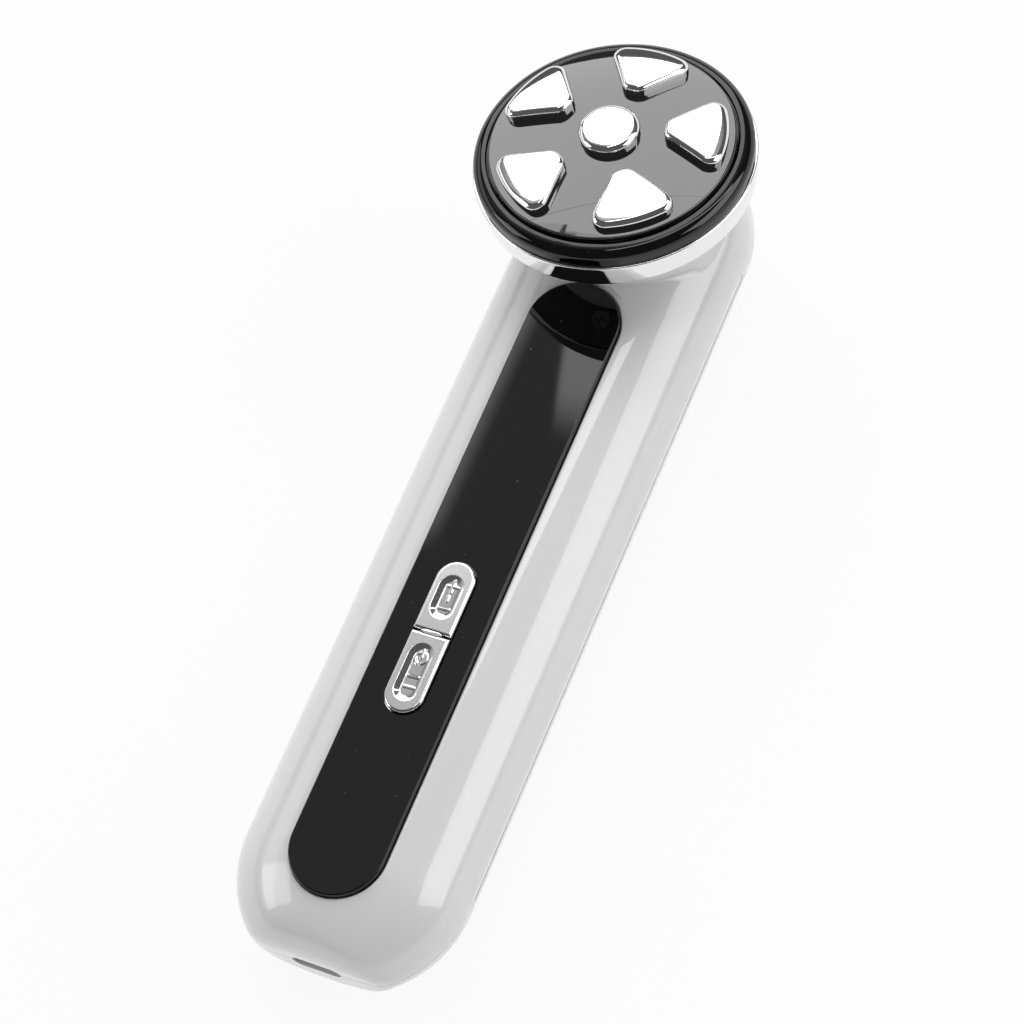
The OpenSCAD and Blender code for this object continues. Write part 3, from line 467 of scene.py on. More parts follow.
INLAY_R, INLAY_Z, INLAY_TOP, INLAY_EDGE, OPENING_R = 8.6, 23.85, 25.45, 0.3, 3.75
rows = [level(racetrack(INLAY_R, 0, INLAY_L), INLAY_Z)]
for k in range(8):
    b = math.radians(90 * k / 7)
    plan = racetrack(INLAY_R - INLAY_EDGE * (1 - math.cos(b)), 0, INLAY_L)
    rows.append(level(plan, INLAY_TOP - INLAY_EDGE * (1 - math.sin(b))))
opening, flare = (racetrack(r, KEY_LOW, KEY_HIGH, 40, 8) for r in (OPENING_R, 3.9))
cut = closed_mesh("tool", [level(opening, 20), level(opening, INLAY_TOP - 0.06),
                           level(flare, INLAY_TOP + 0.09)])
inlay = without(closed_mesh("inlay_bar", rows), [cut])
piece(inlay, "inlay_panel", "casing", gloss)

# ---- Keys ----
# Two moulded caps with satin silver plating that share one long outline and are pressed
# one at a time. A flange under the inlay holds each in; its finger dish carries plain
# raised marks, and a stem on its underside reaches the switch.

satin, t, s, where = finish("satin_silver", Metallic=1.0)
grain = noise(t, where, 2600, 2.0)
feed(t, s, Base_Color=blend(t, grain, (0.80, 0.80, 0.81, 1), (0.84, 0.84, 0.85, 1)),
     Roughness=0.08 + 0.04 * grain)

KEY_R, KEY_TOP, BAR_L, BAR_T, BAR_RAMP, SPLIT_GAP = 3.6, 26.3, 4.0, 0.9, 0.7, 0.4
EDGE_W, EDGE_DROP = 0.5, 0.45                                   # the cap's rounded edge
DISH_R, DISH_DEPTH, DISH_RUN, DISH_WALL = 2.3, 0.55, 3.4, 1.0   # deepest at the left
MARK_X, MARK_SIZE, MARK_H = 0.1, 1.25, 0.17
FLANGE_W, KEY_STEM_R = 0.9, 1.8
LEVEL_DISH, MODE_DISH = (46.725, 8.3), (32.325, 10.8)           # the dishes' middles and lengths


def key_outline(side, r, offset, notch, n=40):
    """Half of the keys' outline on one side of the split, from the split's right end round
    to its left and back along the split, with the notch for the bar if it has one."""
    end = KEY_HIGH if side > 0 else KEY_LOW
    a = np.linspace(0, math.pi, n)
    edge = SPLIT_Y + side * offset
    right = np.c_[np.full(20, r), np.linspace(edge, end, 20, endpoint=False)]
    cap = np.c_[r * np.cos(a), end + side * r * np.sin(a)]
    left = np.c_[np.full(20, -r), np.linspace(end, edge, 21)[1:]]
    x = np.linspace(-r, r, 46)[1:-1]
    deep, wide = BAR_T / 2 + 0.1, BAR_L / 2 + 0.1
    step = 0 * x
    if notch:
        step = np.interp(np.abs(x), [wide - BAR_RAMP, wide, wide + 0.001], [deep - offset, 0.1, 0.0])
    return np.vstack([right, cap, left, np.c_[x, edge + side * np.clip(step, 0, None)]])


def key_shell(name, side, place, marks):
    """A key cap: a fine height field for its rounded edge, finger dish and raised marks,
    trimmed to the outline; then its wall, flange and stem."""
    centre, dish_l = place
    y0, y1 = sorted((SPLIT_Y, (KEY_HIGH if side > 0 else KEY_LOW) + side * KEY_R))
    xs, ys = np.linspace(-KEY_R, KEY_R, 93), np.linspace(y0, y1, 177)
    x, y = np.meshgrid(xs, ys)
    end = np.clip(y, KEY_LOW, KEY_HIGH)
    inside = np.minimum(KEY_R - np.hypot(x, y - end), np.abs(y - SPLIT_Y) - SPLIT_GAP / 2)
    edge = EDGE_DROP * (1 - np.sqrt(np.clip(1 - (1 - np.clip(inside / EDGE_W, 0, 1)) ** 2, 0, 1)))
    half = dish_l / 2 - DISH_R
    into = DISH_R - np.hypot(x, y - centre - np.clip(y - centre, -half, half))
    dish = DISH_DEPTH * np.clip((DISH_R - x) / DISH_RUN, 0, 1) * np.clip(into / DISH_WALL, 0, 1)
    z = KEY_TOP - edge - dish + MARK_H * marks((x - MARK_X) / MARK_SIZE, (y - centre) / MARK_SIZE)
    n = len(xs) - 1
    plan = np.c_[x.ravel(), y.ravel()]
    points = np.vstack([level(plan, z.ravel()), level(plan, 24.3)])
    faces = []
    for base, flip in ((0, 1), (x.size, -1)):
        for a in range(len(ys) - 1):
            for b in range(n):
                k = base + a * (n + 1) + b
                faces.append((k, k + 1, k + n + 2, k + n + 1)[::flip])
    rim = list(range(n + 1)) + [a * (n + 1) + n for a in range(1, len(ys))]
    rim += [x.size - 1 - b for b in range(1, n + 1)] + [a * (n + 1) for a in range(len(ys) - 2, 0, -1)]
    for a, b in zip(rim, rim[1:] + rim[:1]):
        faces.append((a, a + x.size, b + x.size, b))
    outline = key_outline(side, KEY_R - 0.002, SPLIT_GAP / 2, True, 90)
    low = key_outline(side, KEY_R, 1.0, False) * [0.999, 1]
    flange = key_outline(side, KEY_R + FLANGE_W, 1.0, False)
    return shaped(mesh_of(name, points, faces), [
        ("INTERSECT", closed_mesh("tool", [level(outline, 24), level(outline, 27)])),
        ("UNION", closed_mesh("tool", [level(low, 23.7), level(low, 24.32)])),
        ("UNION", closed_mesh("tool", [level(flange, 22.95), level(flange, 23.75)])),
        ("UNION", rod(0, centre, KEY_STEM_R, 20.4, 23.2))], 40)


def stroke(x, y, x0, y0, x1, y1, half=0.13, soft=0.12):
    """Height of a raised round-ended stroke between two points, from 0 to 1."""
    dx, dy = x1 - x0, y1 - y0
    along = np.clip(((x - x0) * dx + (y - y0) * dy) / (dx * dx + dy * dy), 0, 1)
    off = np.hypot(x - x0 - along * dx, y - y0 - along * dy)
    return np.clip((half + soft - off) / soft, 0, 1)


def level_marks(x, y):
    """A plus and a minus, one above the other, with a short bar between."""
    parts = [stroke(x, y, -0.85, 1.7, 0.85, 1.7), stroke(x, y, 0, 0.85, 0, 2.55),
             stroke(x, y, -0.85, -1.7, 0.85, -1.7), stroke(x, y, 0, -0.5, 0, 0.2)]
    return np.max(parts, axis=0)


def mode_marks(x, y):
    """An open ring with a bar through its gap, and two plain strokes under it."""
    ring = np.clip((0.25 - np.abs(np.hypot(x, y - 2.2) - 0.85)) / 0.12, 0, 1)
    ring = ring * np.clip((np.abs(x) - 0.3) / 0.12 + (y < 2.2), 0, 1)
    parts = [ring, stroke(x, y, 0, 2.3, 0, 3.4), stroke(x, y, -0.85, -0.6, 0.85, -0.6),
             stroke(x, y, -0.85, -2.2, 0.85, -2.2)]
    return np.max(parts, axis=0)


upper = key_shell("level_key_cap", 1, LEVEL_DISH, level_marks)
piece(upper, "level_key", "level_button", satin)
lower = key_shell("mode_key_cap", -1, MODE_DISH, mode_marks)
piece(lower, "mode_key", "mode_button", satin)

# ---- Bar between the keys ----
# A small chrome-plated hexagonal bar that stands on the deck between the two keys and
# keeps them apart; its pin is pressed into the deck.


def bar_outline(grow):
    """The hexagonal bar in plan, grown evenly or drawn in."""
    half, end = BAR_T / 2 + grow, BAR_L / 2 + grow
    tip = SPLIT_GAP / 2 + grow
    half_plan = [(-end, -tip), (-end + BAR_RAMP, -half), (end - BAR_RAMP, -half), (end, -tip)]
    return np.array(half_plan + [(-x, -y) for x, y in half_plan]) + (0, SPLIT_Y)


rows = [level(bar_outline(grow), z) for grow, z in ((0, 23.7), (0, 26.05), (-0.05, 26.15), (-0.13, 26.2))]
pin = rod(0, SPLIT_Y, 0.5, DECK_Z, 24.0, 24)
bar = shaped(closed_mesh("key_divider_bar", rows, 30), [("UNION", pin)], 30)
piece(bar, "key_divider", "casing", chrome)

# ---- Charging socket ----
# A drawn-steel shell with rolled lips and a contact tongue inside, soldered to the
# main board behind the mouth in the flat lower end; the tongue, black on the real part, takes the shell's steel
# finish here.

steel, t, s, where = finish("drawn_steel", Metallic=1.0)
pull = noise(t, node(t, "ShaderNodeMapping", {}, {"Vector": where, "Scale": (1, 0.06, 1)}), 2500, 2.0)
feed(t, s, Base_Color=blend(t, pull, (0.64, 0.64, 0.63, 1), (0.74, 0.74, 0.73, 1)),
     Roughness=0.24 + 0.16 * pull)

SOCKET_Y = 0.8 - END_CUT
lips = ((4.17, 1.3, 6.3), (4.17, 1.3, 0.25), (4.22, 1.35, 0.08), (4.32, 1.45, 0.0), (4.42, 1.55, 0.05),
        (4.47, 1.6, 0.2), (4.47, 1.6, 7.3))
shell = closed_mesh("charging_socket_shell", [obround_row(w, h, SOCKET_Y + y, 20) for w, h, y in lips])
blade = block(-3.3, 3.3, SOCKET_Y + 1.15, SOCKET_Y + 6.8, SEAM_Z - 0.35, SEAM_Z + 0.35)
socket = shaped(shell, [("UNION", blade)])
piece(socket, "charging_socket", "casing", steel)

# ---- Head ring ----
# A chrome-plated ring round the head, drawn in towards its foot. It is trapped between
# the bezel above it and the dark cup that the neck's screws hold from below.

RING_R, RING_TOP, FACETS = 25.2, -1.5, 192
ring_profile = [(23.45, RING_TOP), (24.9, RING_TOP), (25.02, -1.52), (25.12, -1.58), (25.18, -1.68),
                (RING_R, -1.8)]
ring_profile += [(RING_R - 0.53 * u + 0.06 * math.sin(math.pi * u), -1.8 - 4.35 * u)
                 for u in np.linspace(0.1, 0.95, 9)]
ring_profile += [(24.64, -6.2), (24.58, -6.27), (24.5, -6.3), (24.27, -6.3), (24.27, -5.4), (23.45, -5.4)]


def hoop(name, profile):
    """A ring turned round the head's axis from a closed profile of radii and heights."""
    faces = []
    for i in range(len(profile)):
        here, there = i * FACETS, (i + 1) % len(profile) * FACETS
        for j in range(FACETS):
            k = (j + 1) % FACETS
            faces.append((here + j, here + k, there + k, there + j))
    return mesh_of(name, in_head(ring_rows(profile, FACETS)), faces)


piece(hoop("head_ring_trim", ring_profile), "head_ring", "casing", chrome)

# ---- Bezel ----
# The gloss black rim of the head: a round bead with a narrow step inside it, a straight
# side above the ring, a ledge under the face plate and a skirt with three screw bosses.

BEAD_R, BEAD_W, BEAD_H, LEDGE_Z, SKIRT_Z = 22.3, 2.5, 1.9, 0.7, -4.05
HEAD_SCREWS, HEAD_BOSS_R, SCREW_HOLE_R = round_axis(19.2, 150, 120, 3), 1.9, 0.85
bezel_profile = [(BEAD_R + BEAD_W * math.cos(b), BEAD_H * math.sin(b))
                 for b in np.linspace(0, math.pi / 2 - 0.12, 22)]
bezel_profile += [(22.42, 1.86), (22.33, 1.78), (22.3, 1.66), (22.27, 1.5), (22.2, 1.42), (22.1, 1.4),
                  (22.0, 1.37), (21.95, 1.3), (21.95, LEDGE_Z), (20.65, LEDGE_Z), (20.65, -1.5),
                  (20.35, -1.5), (20.35, SKIRT_Z), (21.85, SKIRT_Z), (21.85, -1.5),
                  (24.65, -1.5), (24.74, -1.48), (24.78, -1.42), (24.8, -1.3)]
bosses = [("UNION", head_rod(x, y, HEAD_BOSS_R, SKIRT_Z, LEDGE_Z)) for x, y in HEAD_SCREWS]
bosses += [("DIFFERENCE", head_rod(x, y, SCREW_HOLE_R, -5.05, -1.1)) for x, y in HEAD_SCREWS]
bezel = shaped(hoop("bezel_rim", bezel_profile[::-1]), bosses, 30)
piece(bezel, "bezel", "casing", gloss)

# ---- Face plate ----
# A gloss black moulded disc with a gently domed front, bored for the electrodes' stems.

FACE_R, FACE_Z, DOME_R, STEM_HOLE_R, PAD_AT = 21.8, 2.5, 110.0, 2.3, 14.6
DOME_C = FACE_Z - math.sqrt(DOME_R ** 2 - FACE_R ** 2)
lacquer, t, s, where = finish("piano_lacquer", IOR=1.5, Coat_Weight=1.0, Coat_IOR=1.62, Coat_Roughness=0.01)
swirl = noise(t, where, 60, 3.0)
feed(t, s, Base_Color=blend(t, swirl, (0.004, 0.004, 0.004, 1), (0.008, 0.008, 0.008, 1)),
     Roughness=0.02 + 0.03 * swirl)


def dome_z(r, grow=0.0):
    """Height of the plate's dome at a radius from the head's axis."""
    return DOME_C + np.sqrt((DOME_R + grow) ** 2 - np.square(r))


plate_profile = [(r, float(dome_z(r))) for r in np.linspace(0.05, 21.45, 40)]
edge = dome_z(21.6)
plate_profile += [(21.6, edge), (21.7, edge - 0.04), (21.77, edge - 0.12), (FACE_R, edge - 0.24),
                  (FACE_R, 1.0), (20.65, 1.0)]
plate_profile += [(r, float(dome_z(r, -1.5))) for r in np.linspace(20.64, 0.05, 12)]
stems = [(0.0, 0.0)] + round_axis(PAD_AT, 90, -72, 5)
plate = without(closed_mesh("face_plate_disc", in_head(ring_rows(plate_profile, FACETS))),
                [head_rod(x, y, STEM_HOLE_R, -1, 8) for x, y in stems], 30)
piece(plate, "face_plate", "casing", lacquer)

# ---- Electrodes ----
# Five rounded metal pads round a button, polished and chromed. Their tops lie on one
# shallow dome, their shoulders are rounded, and each has a stem that is screwed from
# behind through the face plate.

PAD_H, SHOULDER, DROP, STEM_TIP = 2.1, 1.1, 1.0, -1.2
ROLL_H, ROLL_FROM, ROLL_L = 0.18, 15.5, 4       # how the tops fall towards the rim
LEAN = math.asin(PAD_AT / DOME_R)


def pad_outline(inset):
    """One pad in plan along +X from the head's axis, drawn in evenly by an inset."""
    r, rim, turn = 2.3 - inset, 20.6 - inset, math.asin(4.7 / 18.3)
    outer, inner = np.array([18.3 * math.cos(turn), 4.7]), np.array([11.7, 0.4])    # corners' middles
    side = math.atan2(*(outer - inner)[::-1]) + math.pi / 2
    b = np.linspace(0, turn, 24, endpoint=False)
    half = [np.c_[np.cos(b), np.sin(b)] * rim]
    b = np.linspace(turn, side, 22, endpoint=False)
    half.append(outer + np.c_[np.cos(b), np.sin(b)] * r)
    off = np.array([math.cos(side), math.sin(side)]) * r
    corner, end = outer + off, inner + off
    half.append(corner + (end - corner) * np.linspace(0, 1, 16, endpoint=False)[:, None])
    b = np.linspace(side, math.pi, 20, endpoint=False)
    half.append(inner + np.c_[np.cos(b), np.sin(b)] * r)
    half.append([[9.4 + inset, 0.4]])
    half = np.vstack(half)
    return np.vstack([half, (half * [1, -1])[::-1][:-1]])


def roll_off(plan):
    """How far a pad's top falls towards the rim of the head."""
    return ROLL_H * (np.clip(np.hypot(*plan.T) - ROLL_FROM, 0, None) / ROLL_L) ** 2


def pad_rows(turn):
    """Rows of one pad from the middle of its top, over the shoulder, down to the plate."""
    rows = []

    def add(plan, height):
        u, v = plan[:, 0] - PAD_AT, plan[:, 1]
        w = np.sqrt((DOME_R + height) ** 2 - u ** 2 - v ** 2)
        x = u * math.cos(LEAN) + w * math.sin(LEAN)
        z = DOME_C - u * math.sin(LEAN) + w * math.cos(LEAN)
        c, s = math.cos(turn), math.sin(turn)
        rows.append(in_head(np.c_[x * c - v * s, x * s + v * c, z]))

    top, middle = pad_outline(SHOULDER), np.array([14.9, 0])
    for f in np.linspace(0.04, 1, 16):
        plan = middle + (top - middle) * f
        add(plan, PAD_H - roll_off(plan))
    for b in np.radians(np.linspace(6, 90, 14)):
        plan = pad_outline(SHOULDER * (1 - math.sin(b)))
        add(plan, PAD_H - roll_off(plan) * math.cos(b) - DROP * (1 - math.cos(b)))
    for h in (PAD_H - DROP - 0.3, 0.3, 0.0):
        add(pad_outline(0), h + 0.005)
    return rows


STEM_R, BORE_TOP = 2.2, 2.3
for i in range(1, 6):
    x, y = stems[i]
    pad = shaped(closed_mesh("electrode_%d_pad" % i, pad_rows(math.radians(90 - 72 * (i - 1))), 40),
                 [("UNION", head_rod(x, y, STEM_R, STEM_TIP, 4.4)),
                  ("DIFFERENCE", head_rod(x, y, SCREW_HOLE_R, -2.2, BORE_TOP))], 40)
    piece(pad, "electrode_%d" % i, "casing", chrome)

BUTTON_R, FLAT_R, ARC_W, ARC_H, BUTTON_CROWN = 5.4, 3.8, 1.6, 1.15, 0.12
top = float(dome_z(0)) + 2.2
button_profile = [(r, top - BUTTON_CROWN * (r / FLAT_R) ** 2) for r in np.linspace(0.05, FLAT_R, 12)]
button_profile += [(FLAT_R + ARC_W * math.sin(b), top - BUTTON_CROWN - ARC_H * (1 - math.cos(b)))
                   for b in np.radians(np.linspace(5, 90, 16))]
button_profile += [(BUTTON_R, top - 1.5), (BUTTON_R, float(dome_z(BUTTON_R)) + 0.005),
                   (STEM_R, float(dome_z(STEM_R)) + 0.005), (STEM_R, STEM_TIP),
                   (SCREW_HOLE_R, STEM_TIP), (SCREW_HOLE_R, BORE_TOP), (0.05, BORE_TOP)]
piece(closed_mesh("centre_electrode_button", in_head(ring_rows(button_profile, 128)), 40),
      "centre_electrode", "casing", chrome)

# ---- Screws and plugs ----
# Pan-head steel screws with a cross recess, made in one pattern for every size. The four
# case screws sit deep in counterbores in the back, each under a moulded white plug.

steel_screw, t, s, where = finish("plated_steel", Metallic=1.0)
wear = noise(t, where, 900, 4.0)
feed(t, s, Base_Color=blend(t, wear, (0.42, 0.42, 0.43, 1), (0.56, 0.56, 0.57, 1)),
     Roughness=0.28 + 0.2 * wear)

LARGE, SMALL = (1.2, 2.3, 1.6), (0.8, 1.7, 1.1)     # shank radius, head radius, head height
PLUG_R, PLUG_FOOT = 2.28, 4.9


def screw_pattern():
    """Tree that stands a screw at each point of a mesh: sizes in metres, a lean, a finish."""
    tree = bpy.data.node_groups.new("pan_screws", "GeometryNodeTree")
    face = tree.interface
    face.new_socket("Seats", in_out="INPUT", socket_type="NodeSocketGeometry")
    for name in ("Shank radius", "Shank length", "Head radius", "Head height"):
        face.new_socket(name, in_out="INPUT", socket_type="NodeSocketFloat")
    face.new_socket("Lean", in_out="INPUT", socket_type="NodeSocketVector")
    face.new_socket("Finish", in_out="INPUT", socket_type="NodeSocketMaterial")
    face.new_socket("Screws", in_out="OUTPUT", socket_type="NodeSocketGeometry")
    inlet = tree.nodes.new("NodeGroupInput")
    size = {o.name: Wire(tree, o) for o in inlet.outputs if o.name}

    def moved(solid, z):
        lift = node(tree, "ShaderNodeCombineXYZ", {}, {2: z})
        return node(tree, "GeometryNodeTransform", {}, {"Geometry": solid, "Translation": lift})

    def cylinder(n, radius, depth):
        sizes = {"Vertices": n, "Radius": radius, "Depth": depth}
        return node(tree, "GeometryNodeMeshCylinder", {}, sizes)

    head_r, head_h, length = size["Head radius"], size["Head height"], size["Shank length"]
    head = moved(cylinder(40, head_r, head_h), 0 - 0.5 * head_h)
    shank = moved(cylinder(24, size["Shank radius"], length + 0.0002), 0.5 * length - 0.0001)
    bars = []
    for long_way in (0, 1):
        wide = {long_way: 1.3 * head_r, 1 - long_way: 0.3 * head_r, 2: 1.1 * head_h}
        block_size = node(tree, "ShaderNodeCombineXYZ", {}, wide)
        bars.append(moved(node(tree, "GeometryNodeMeshCube", {}, {"Size": block_size}), 0 - head_h))
    whole = node(tree, "GeometryNodeMeshBoolean", {"operation": "UNION", "solver": "EXACT"}, {"Mesh 2": head})
    tree.links.new(shank.socket, whole.socket.node.inputs["Mesh 2"])
    cut = node(tree, "GeometryNodeMeshBoolean", {"operation": "DIFFERENCE", "solver": "EXACT"},
               {"Mesh 1": whole, "Mesh 2": bars[0]})
    tree.links.new(bars[1].socket, cut.socket.node.inputs["Mesh 2"])
    stood = node(tree, "GeometryNodeInstanceOnPoints", {},
                 {"Points": size["Seats"], "Instance": cut, "Rotation": size["Lean"]})
    real = node(tree, "GeometryNodeRealizeInstances", {}, {"Geometry": stood})
    done = node(tree, "GeometryNodeSetMaterial", {}, {"Geometry": real, "Material": size["Finish"]})
    node(tree, "NodeGroupOutput", {}, {"Screws": done})
    return tree


screws_tree = screw_pattern()


def screws(name, cad_node, seats, length, sizes, lean=0.0):
    """All screws of one size as one mesh, in place of their CAD node."""
    shank_r, head_r, head_h = sizes
    points = bpy.data.meshes.new(name)
    points.from_pydata(((np.array(seats, float) - (0, MID, 0)) * 0.001).tolist(), [], [])
    o = bpy.data.objects.new(name, points)
    bpy.context.scene.collection.objects.link(o)
    mod = o.modifiers.new("screws", "NODES")
    mod.node_group = screws_tree
    wanted = {"Shank radius": shank_r * 0.001, "Shank length": length * 0.001, "Head radius": head_r * 0.001,
              "Head height": head_h * 0.001, "Lean": (lean, 0.0, 0.0), "Finish": steel_screw}
    for item in screws_tree.interface.items_tree:
        if item.in_out == "INPUT" and item.name in wanted:
            mod[item.identifier] = wanted[item.name]
    bpy.context.view_layer.update()
    made = bpy.data.meshes.new_from_object(o.evaluated_get(bpy.context.evaluated_depsgraph_get()))
    bpy.data.objects.remove(o)
    made.name = name
    tidy(made, 30)
    piece(made, cad_node, "casing", steel_screw)


screws("case_screw_set", "case_screws", [(x, y, 6.6) for x, y in CASE_SCREWS], 12, LARGE)
screws("board_screw_set", "board_screws", [(x, y, 14.2) for x, y in BOARD_SCREWS], 6.1, SMALL)
for name, places, z, length in (("neck_screw", NECK_SCREWS, -8.4, 3.7), ("head_screw", HEAD_SCREWS, -5.1, 3.6),
                                ("electrode_screw", stems, -2.4, 3.6)):
    seats = in_head([(x, y, z) for x, y in places])
    screws(name + "_set", name + "s", seats, length, SMALL, -TILT)

plugs = bmesh.new()
a = np.linspace(0, 2 * math.pi, 48, endpoint=False)
for x, y in CASE_SCREWS:
    rows = []
    for r, up in ((0.02, 0.02), (0.8, 0.02), (1.5, 0.02), (2.1, 0.03), (2.22, 0.08), (PLUG_R, 0.18)):
        plan = np.c_[x + r * np.cos(a), y + r * np.sin(a)]
        rows.append(level(plan, SEAM_Z - belly(spine_distance(plan)) + up))
    rows.append(level(plan, PLUG_FOOT))
    one = closed_mesh("plug", rows)
    plugs.from_mesh(one)
    bpy.data.meshes.remove(one)
plug_mesh = bpy.data.meshes.new("screw_plug_set")
plugs.to_mesh(plug_mesh)
plugs.free()
tidy(plug_mesh)
piece(plug_mesh, "screw_plugs", "casing", pearl)

# ---- What lies inside ----
# The cell, boards, switches, motor, leads, plugs and seals keep their CAD shapes; each
# has the finish of the real thing: solder mask, shrink film, foam, tape, nylon, rubber.


def moulded(name, dark, light, scale, rough, spread=0.1, bump=0.0, **fixed):
    """A finish whose tone, gloss and grain vary finely over the surface."""
    mat, t, s, where = finish(name, **fixed)
    grain = noise(t, where, scale, 3.0)
    feed(t, s, Base_Color=blend(t, grain, (*dark, 1), (*light, 1)),
         Roughness=rough - spread / 2 + spread * grain)
    if bump:
        depth = {"Strength": bump, "Distance": 0.00005, "Height": grain}
        feed(t, s, Normal=node(t, "ShaderNodeBump", {}, depth))
    return mat


def dress(material, *names):
    """Gives CAD nodes that keep their shape a finish."""
    for name in names:
        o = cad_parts[name]
        if not o.material_slots:
            o.data.materials.append(material)
        for place in o.material_slots:
            place.material = material


dress(moulded("matt_black_moulding", (0.07, 0.07, 0.07), (0.12, 0.12, 0.12), 2500, 0.55, 0.15, 0.3),
      "level_switch", "mode_switch", "head_cup")
dress(moulded("white_nylon", (0.70, 0.70, 0.68), (0.80, 0.80, 0.78), 1800, 0.4),
      "level_plunger", "mode_plunger")
dress(moulded("bonding_film", (0.17, 0.17, 0.17), (0.24, 0.24, 0.24), 1200, 0.6), "inlay_adhesive")
dress(moulded("clear_acrylic", (0.78, 0.86, 0.88), (0.84, 0.92, 0.94), 400, 0.12, 0.05,
              Transmission_Weight=0.9, IOR=1.49),
      "light_guide")
dress(moulded("led_lens", (0.82, 0.82, 0.72), (0.90, 0.90, 0.84), 900, 0.25), "status_leds")
dress(moulded("black_epoxy", (0.015, 0.015, 0.015), (0.03, 0.03, 0.03), 4000, 0.5, 0.2, 0.2),
      "controller_chip")
dress(moulded("gray_rubber", (0.09, 0.09, 0.10), (0.14, 0.14, 0.15), 2200, 0.75, 0.15, 0.4),
      "port_gasket", "face_gasket", "neck_gasket", "motor_boot")
dress(moulded("shrink_film_blue", (0.20, 0.30, 0.48), (0.27, 0.39, 0.60), 160, 0.3, 0.15, 0.3),
      "battery")
dress(moulded("closed_cell_foam", (0.03, 0.03, 0.03), (0.06, 0.06, 0.06), 3000, 0.9, 0.1, 0.8),
      "battery_pad")
dress(moulded("ivory_nylon", (0.66, 0.62, 0.49), (0.76, 0.72, 0.60), 1500, 0.45),
      "battery_plug", "motor_plug", "head_connector", "head_plug")
dress(moulded("red_insulation", (0.42, 0.03, 0.03), (0.55, 0.05, 0.05), 2000, 0.4),
      "battery_leads", "motor_leads")
dress(moulded("capacitor_film", (0.03, 0.04, 0.15), (0.07, 0.08, 0.24), 300, 0.3),
      "storage_capacitor")
dress(moulded("drawn_can", (0.52, 0.52, 0.52), (0.68, 0.68, 0.67), 1400, 0.3, 0.2, Metallic=1.0),
      "motor", "motor_shaft")
dress(moulded("sintered_weight", (0.22, 0.22, 0.22), (0.36, 0.36, 0.35), 2600, 0.5, 0.2, 0.5, Metallic=0.9),
      "offset_weight")
dress(moulded("gray_cable_sheath", (0.19, 0.20, 0.22), (0.25, 0.26, 0.28), 2400, 0.6, 0.1, 0.3),
      "head_harness")

mask, t, s, where = finish("solder_mask", Coat_Weight=0.3, Coat_Roughness=0.1)
tracks = node(t, "ShaderNodeTexBrick", {"offset": 0.37, "squash": 0.6},
              {"Vector": where, "Scale": 260, "Mortar Size": 0.03,
               "Color1": (0, 0, 0, 1), "Color2": (0, 0, 0, 1), "Mortar": (1, 1, 1, 1)})
copper = node(t, "ShaderNodeSeparateColor", {}, {0: tracks})
cloud = noise(t, where, 120, 2.0)
green = blend(t, cloud, (0.018, 0.13, 0.05, 1), (0.03, 0.18, 0.07, 1))
feed(t, s, Base_Color=blend(t, copper, green, (0.05, 0.26, 0.10, 1)), Roughness=0.42 - 0.1 * copper,
     Normal=node(t, "ShaderNodeBump", {}, {"Strength": 0.4, "Distance": 0.00003, "Height": copper}))
dress(mask, "main_board", "head_board")

tape, t, s, where = finish("winding_tape")
turns = node(t, "ShaderNodeTexWave", {"bands_direction": "Y"},
             {"Vector": where, "Scale": 160, "Distortion": 0.6, "Detail": 1.0}, "Fac")
feed(t, s, Base_Color=blend(t, turns, (0.50, 0.37, 0.04, 1), (0.68, 0.53, 0.08, 1)),
     Roughness=0.45 - 0.15 * turns,
     Normal=node(t, "ShaderNodeBump", {}, {"Strength": 0.3, "Distance": 0.00004, "Height": turns}))
dress(tape, "pulse_transformer")

# ---- Floor, light and camera ----
# A pale paper floor that reads as white where it is seen or mirrored; a studio whose bright
# patch behind the head carries on from the back box, for the face plate and the electrodes
# to mirror; soft boxes on all sides; and the camera, with a long lens.

bpy.ops.mesh.primitive_plane_add(size=8, location=(0, 0, -0.0002))
floor = bpy.context.object
floor.name = "floor"
paper = bpy.data.materials.new("paper")
paper.use_nodes = True
t = paper.node_tree
t.nodes.clear()
path = t.nodes.new("ShaderNodeLightPath")
seen, mirrored, through = (Wire(t, path.outputs["Is %s Ray" % kind])
                           for kind in ("Camera", "Glossy", "Transmission"))
plain = node(t, "ShaderNodeBsdfDiffuse", {}, {"Color": (0.86, 0.86, 0.86, 1)})
white = node(t, "ShaderNodeEmission", {}, {"Color": (1, 1, 1, 1), "Strength": 1.0})
both = node(t, "ShaderNodeMixShader", {}, {0: 0.9 * (seen + mirrored + through), 1: plain, 2: white})
node(t, "ShaderNodeOutputMaterial", {}, {"Surface": both})
floor.data.materials.append(paper)

world = bpy.data.worlds.new("studio")
bpy.context.scene.world = world
world.use_nodes = True
t = world.node_tree
t.nodes.clear()
path = t.nodes.new("ShaderNodeLightPath")
seen = Wire(t, path.outputs["Is Camera Ray"])
way = node(t, "ShaderNodeTexCoord", out="Generated")
split = node(t, "ShaderNodeSeparateXYZ", {}, {0: way}).socket.node
x, y, up = (Wire(t, o) for o in split.outputs)


def rise(value, start, end):
    """0 below the start, 1 above the end and smooth between, or the reverse."""
    return node(t, "ShaderNodeMapRange", {"interpolation_type": "SMOOTHSTEP"}, {0: value, 1: start, 2: end})


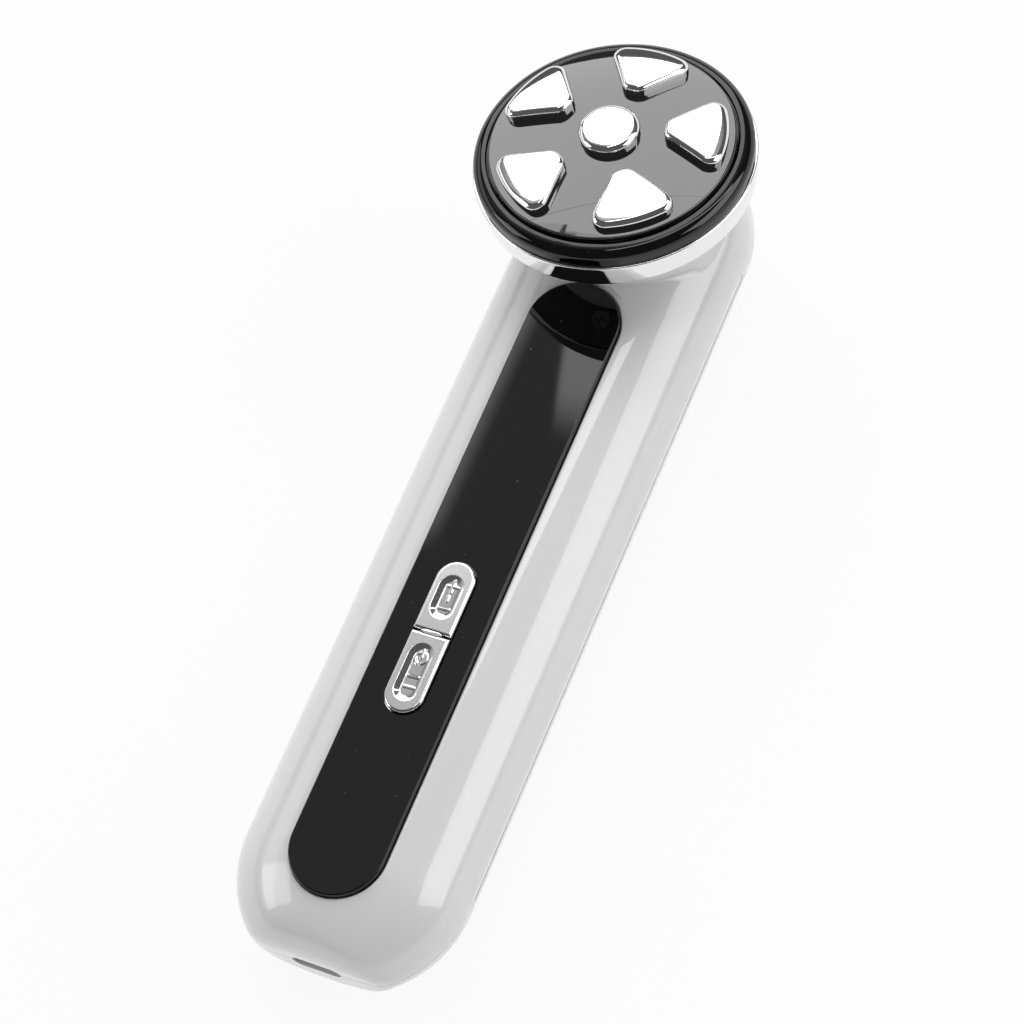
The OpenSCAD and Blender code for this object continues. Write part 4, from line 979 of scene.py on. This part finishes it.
# the patch, in slopes to the side and ahead: a bright pane and two dimmer ones nearer the
# front with a dark bar between them, then its limits; the far one meets the back box's edge
BACK_RADIANCE, BOX_EDGE, EDGE_SOFT = 2.6, 0.7026, 0.016
side, ahead = x.math("DIVIDE", x, up), x.math("DIVIDE", y, up)
step = x.math("MAXIMUM", ahead - 0.463, 0.0)
patch = rise(side + 0.28 * ahead + 60.0 * step, -0.3, -0.297) * rise(ahead, 0.415, 0.44)
dimmed = 0.8 + 0.2 * rise(ahead, 0.44, 0.52)
patch = x.math("MAXIMUM", patch, dimmed * rise(side, -0.385, -0.365) * rise(ahead, 0.30, 0.34))
patch = x.math("MAXIMUM", patch, dimmed * rise(side, -0.437, -0.446) * rise(ahead, 0.36, 0.38))
patch = patch * rise(side, 0.2, 0.0) * rise(side, -1.1, -0.9)
patch = patch * rise(0.89 * ahead - 0.456 * side, BOX_EDGE, BOX_EDGE - EDGE_SOFT) * rise(up, 0.5, 0.55)
low = 0.1 + 1.0 * rise(up, 0.13, 0.05)
high = 0.38 * rise(up, 0.4, 0.8) * rise(y, -0.05, 0.2) * rise(x, 0.4, 0.15)
glow = low + high + BACK_RADIANCE * patch
room = node(t, "ShaderNodeBackground", {}, {"Color": (1, 1, 1, 1), "Strength": glow})
sky = node(t, "ShaderNodeBackground", {}, {"Color": (1, 1, 1, 1), "Strength": 1.0})
all_round = node(t, "ShaderNodeMixShader", {}, {0: seen, 1: room, 2: sky})
node(t, "ShaderNodeOutputWorld", {}, {"Surface": all_round})


def soft_box(name, target, way, away, width, height, radiance):
    """A rectangular lamp that faces a point from a way off, of a given brightness."""
    lamp = bpy.data.lights.new(name, "AREA")
    lamp.shape, lamp.size, lamp.size_y = "RECTANGLE", width, height
    lamp.energy = radiance * math.pi * width * height
    o = bpy.data.objects.new(name, lamp)
    bpy.context.scene.collection.objects.link(o)
    way = Vector(way).normalized()
    o.matrix_world = (Matrix.Translation(Vector(target) + away * way)
                      @ way.to_track_quat("Z", "Y").to_matrix().to_4x4())
    return o


HEAD_AT, MIDDLE = (0.0, 0.061, 0.04), (0, 0, 0.02)
soft_box("back_box", HEAD_AT, (-0.367, 0.716, 0.594), 0.9, 0.8, 0.64, BACK_RADIANCE)
soft_box("right_box", MIDDLE, (0.80, 0.33, 0.50), 1.0, 0.9, 0.58, 2.9)
soft_box("over_strip", MIDDLE, (0.22, 0.33, 0.92), 1.0, 0.09, 1.0, 4.5)
soft_box("left_box", MIDDLE, (-0.92, 0.0, 0.38), 1.0, 1.2, 0.28, 1.1)
soft_box("low_box", (0, -0.06, 0.02), (-0.83, -0.27, 0.50), 1.0, 0.42, 0.46, 2.2)
front = soft_box("front_box", (0, -0.05, 0.02), (0.1, -0.85, 0.40), 1.0, 1.2, 0.5, 1.3)
front.visible_glossy = False        # it lights the white shells, and nothing mirrors it

camera = bpy.data.cameras.new("camera")
camera.sensor_width = 36.0
camera.lens = 115.391
view = bpy.data.objects.new("camera", camera)
bpy.context.scene.collection.objects.link(view)
view.matrix_world = Matrix(((0.89569158, -0.25683419, 0.36300523, 0.2076327),
                            (0.38288816, 0.86057088, -0.33587858, -0.1914021),
                            (-0.22612663, 0.43983402, 0.86914486, 0.5125587),
                            (0, 0, 0, 1)))
bpy.context.scene.camera = view
bpy.context.scene.view_settings.view_transform = "Standard"
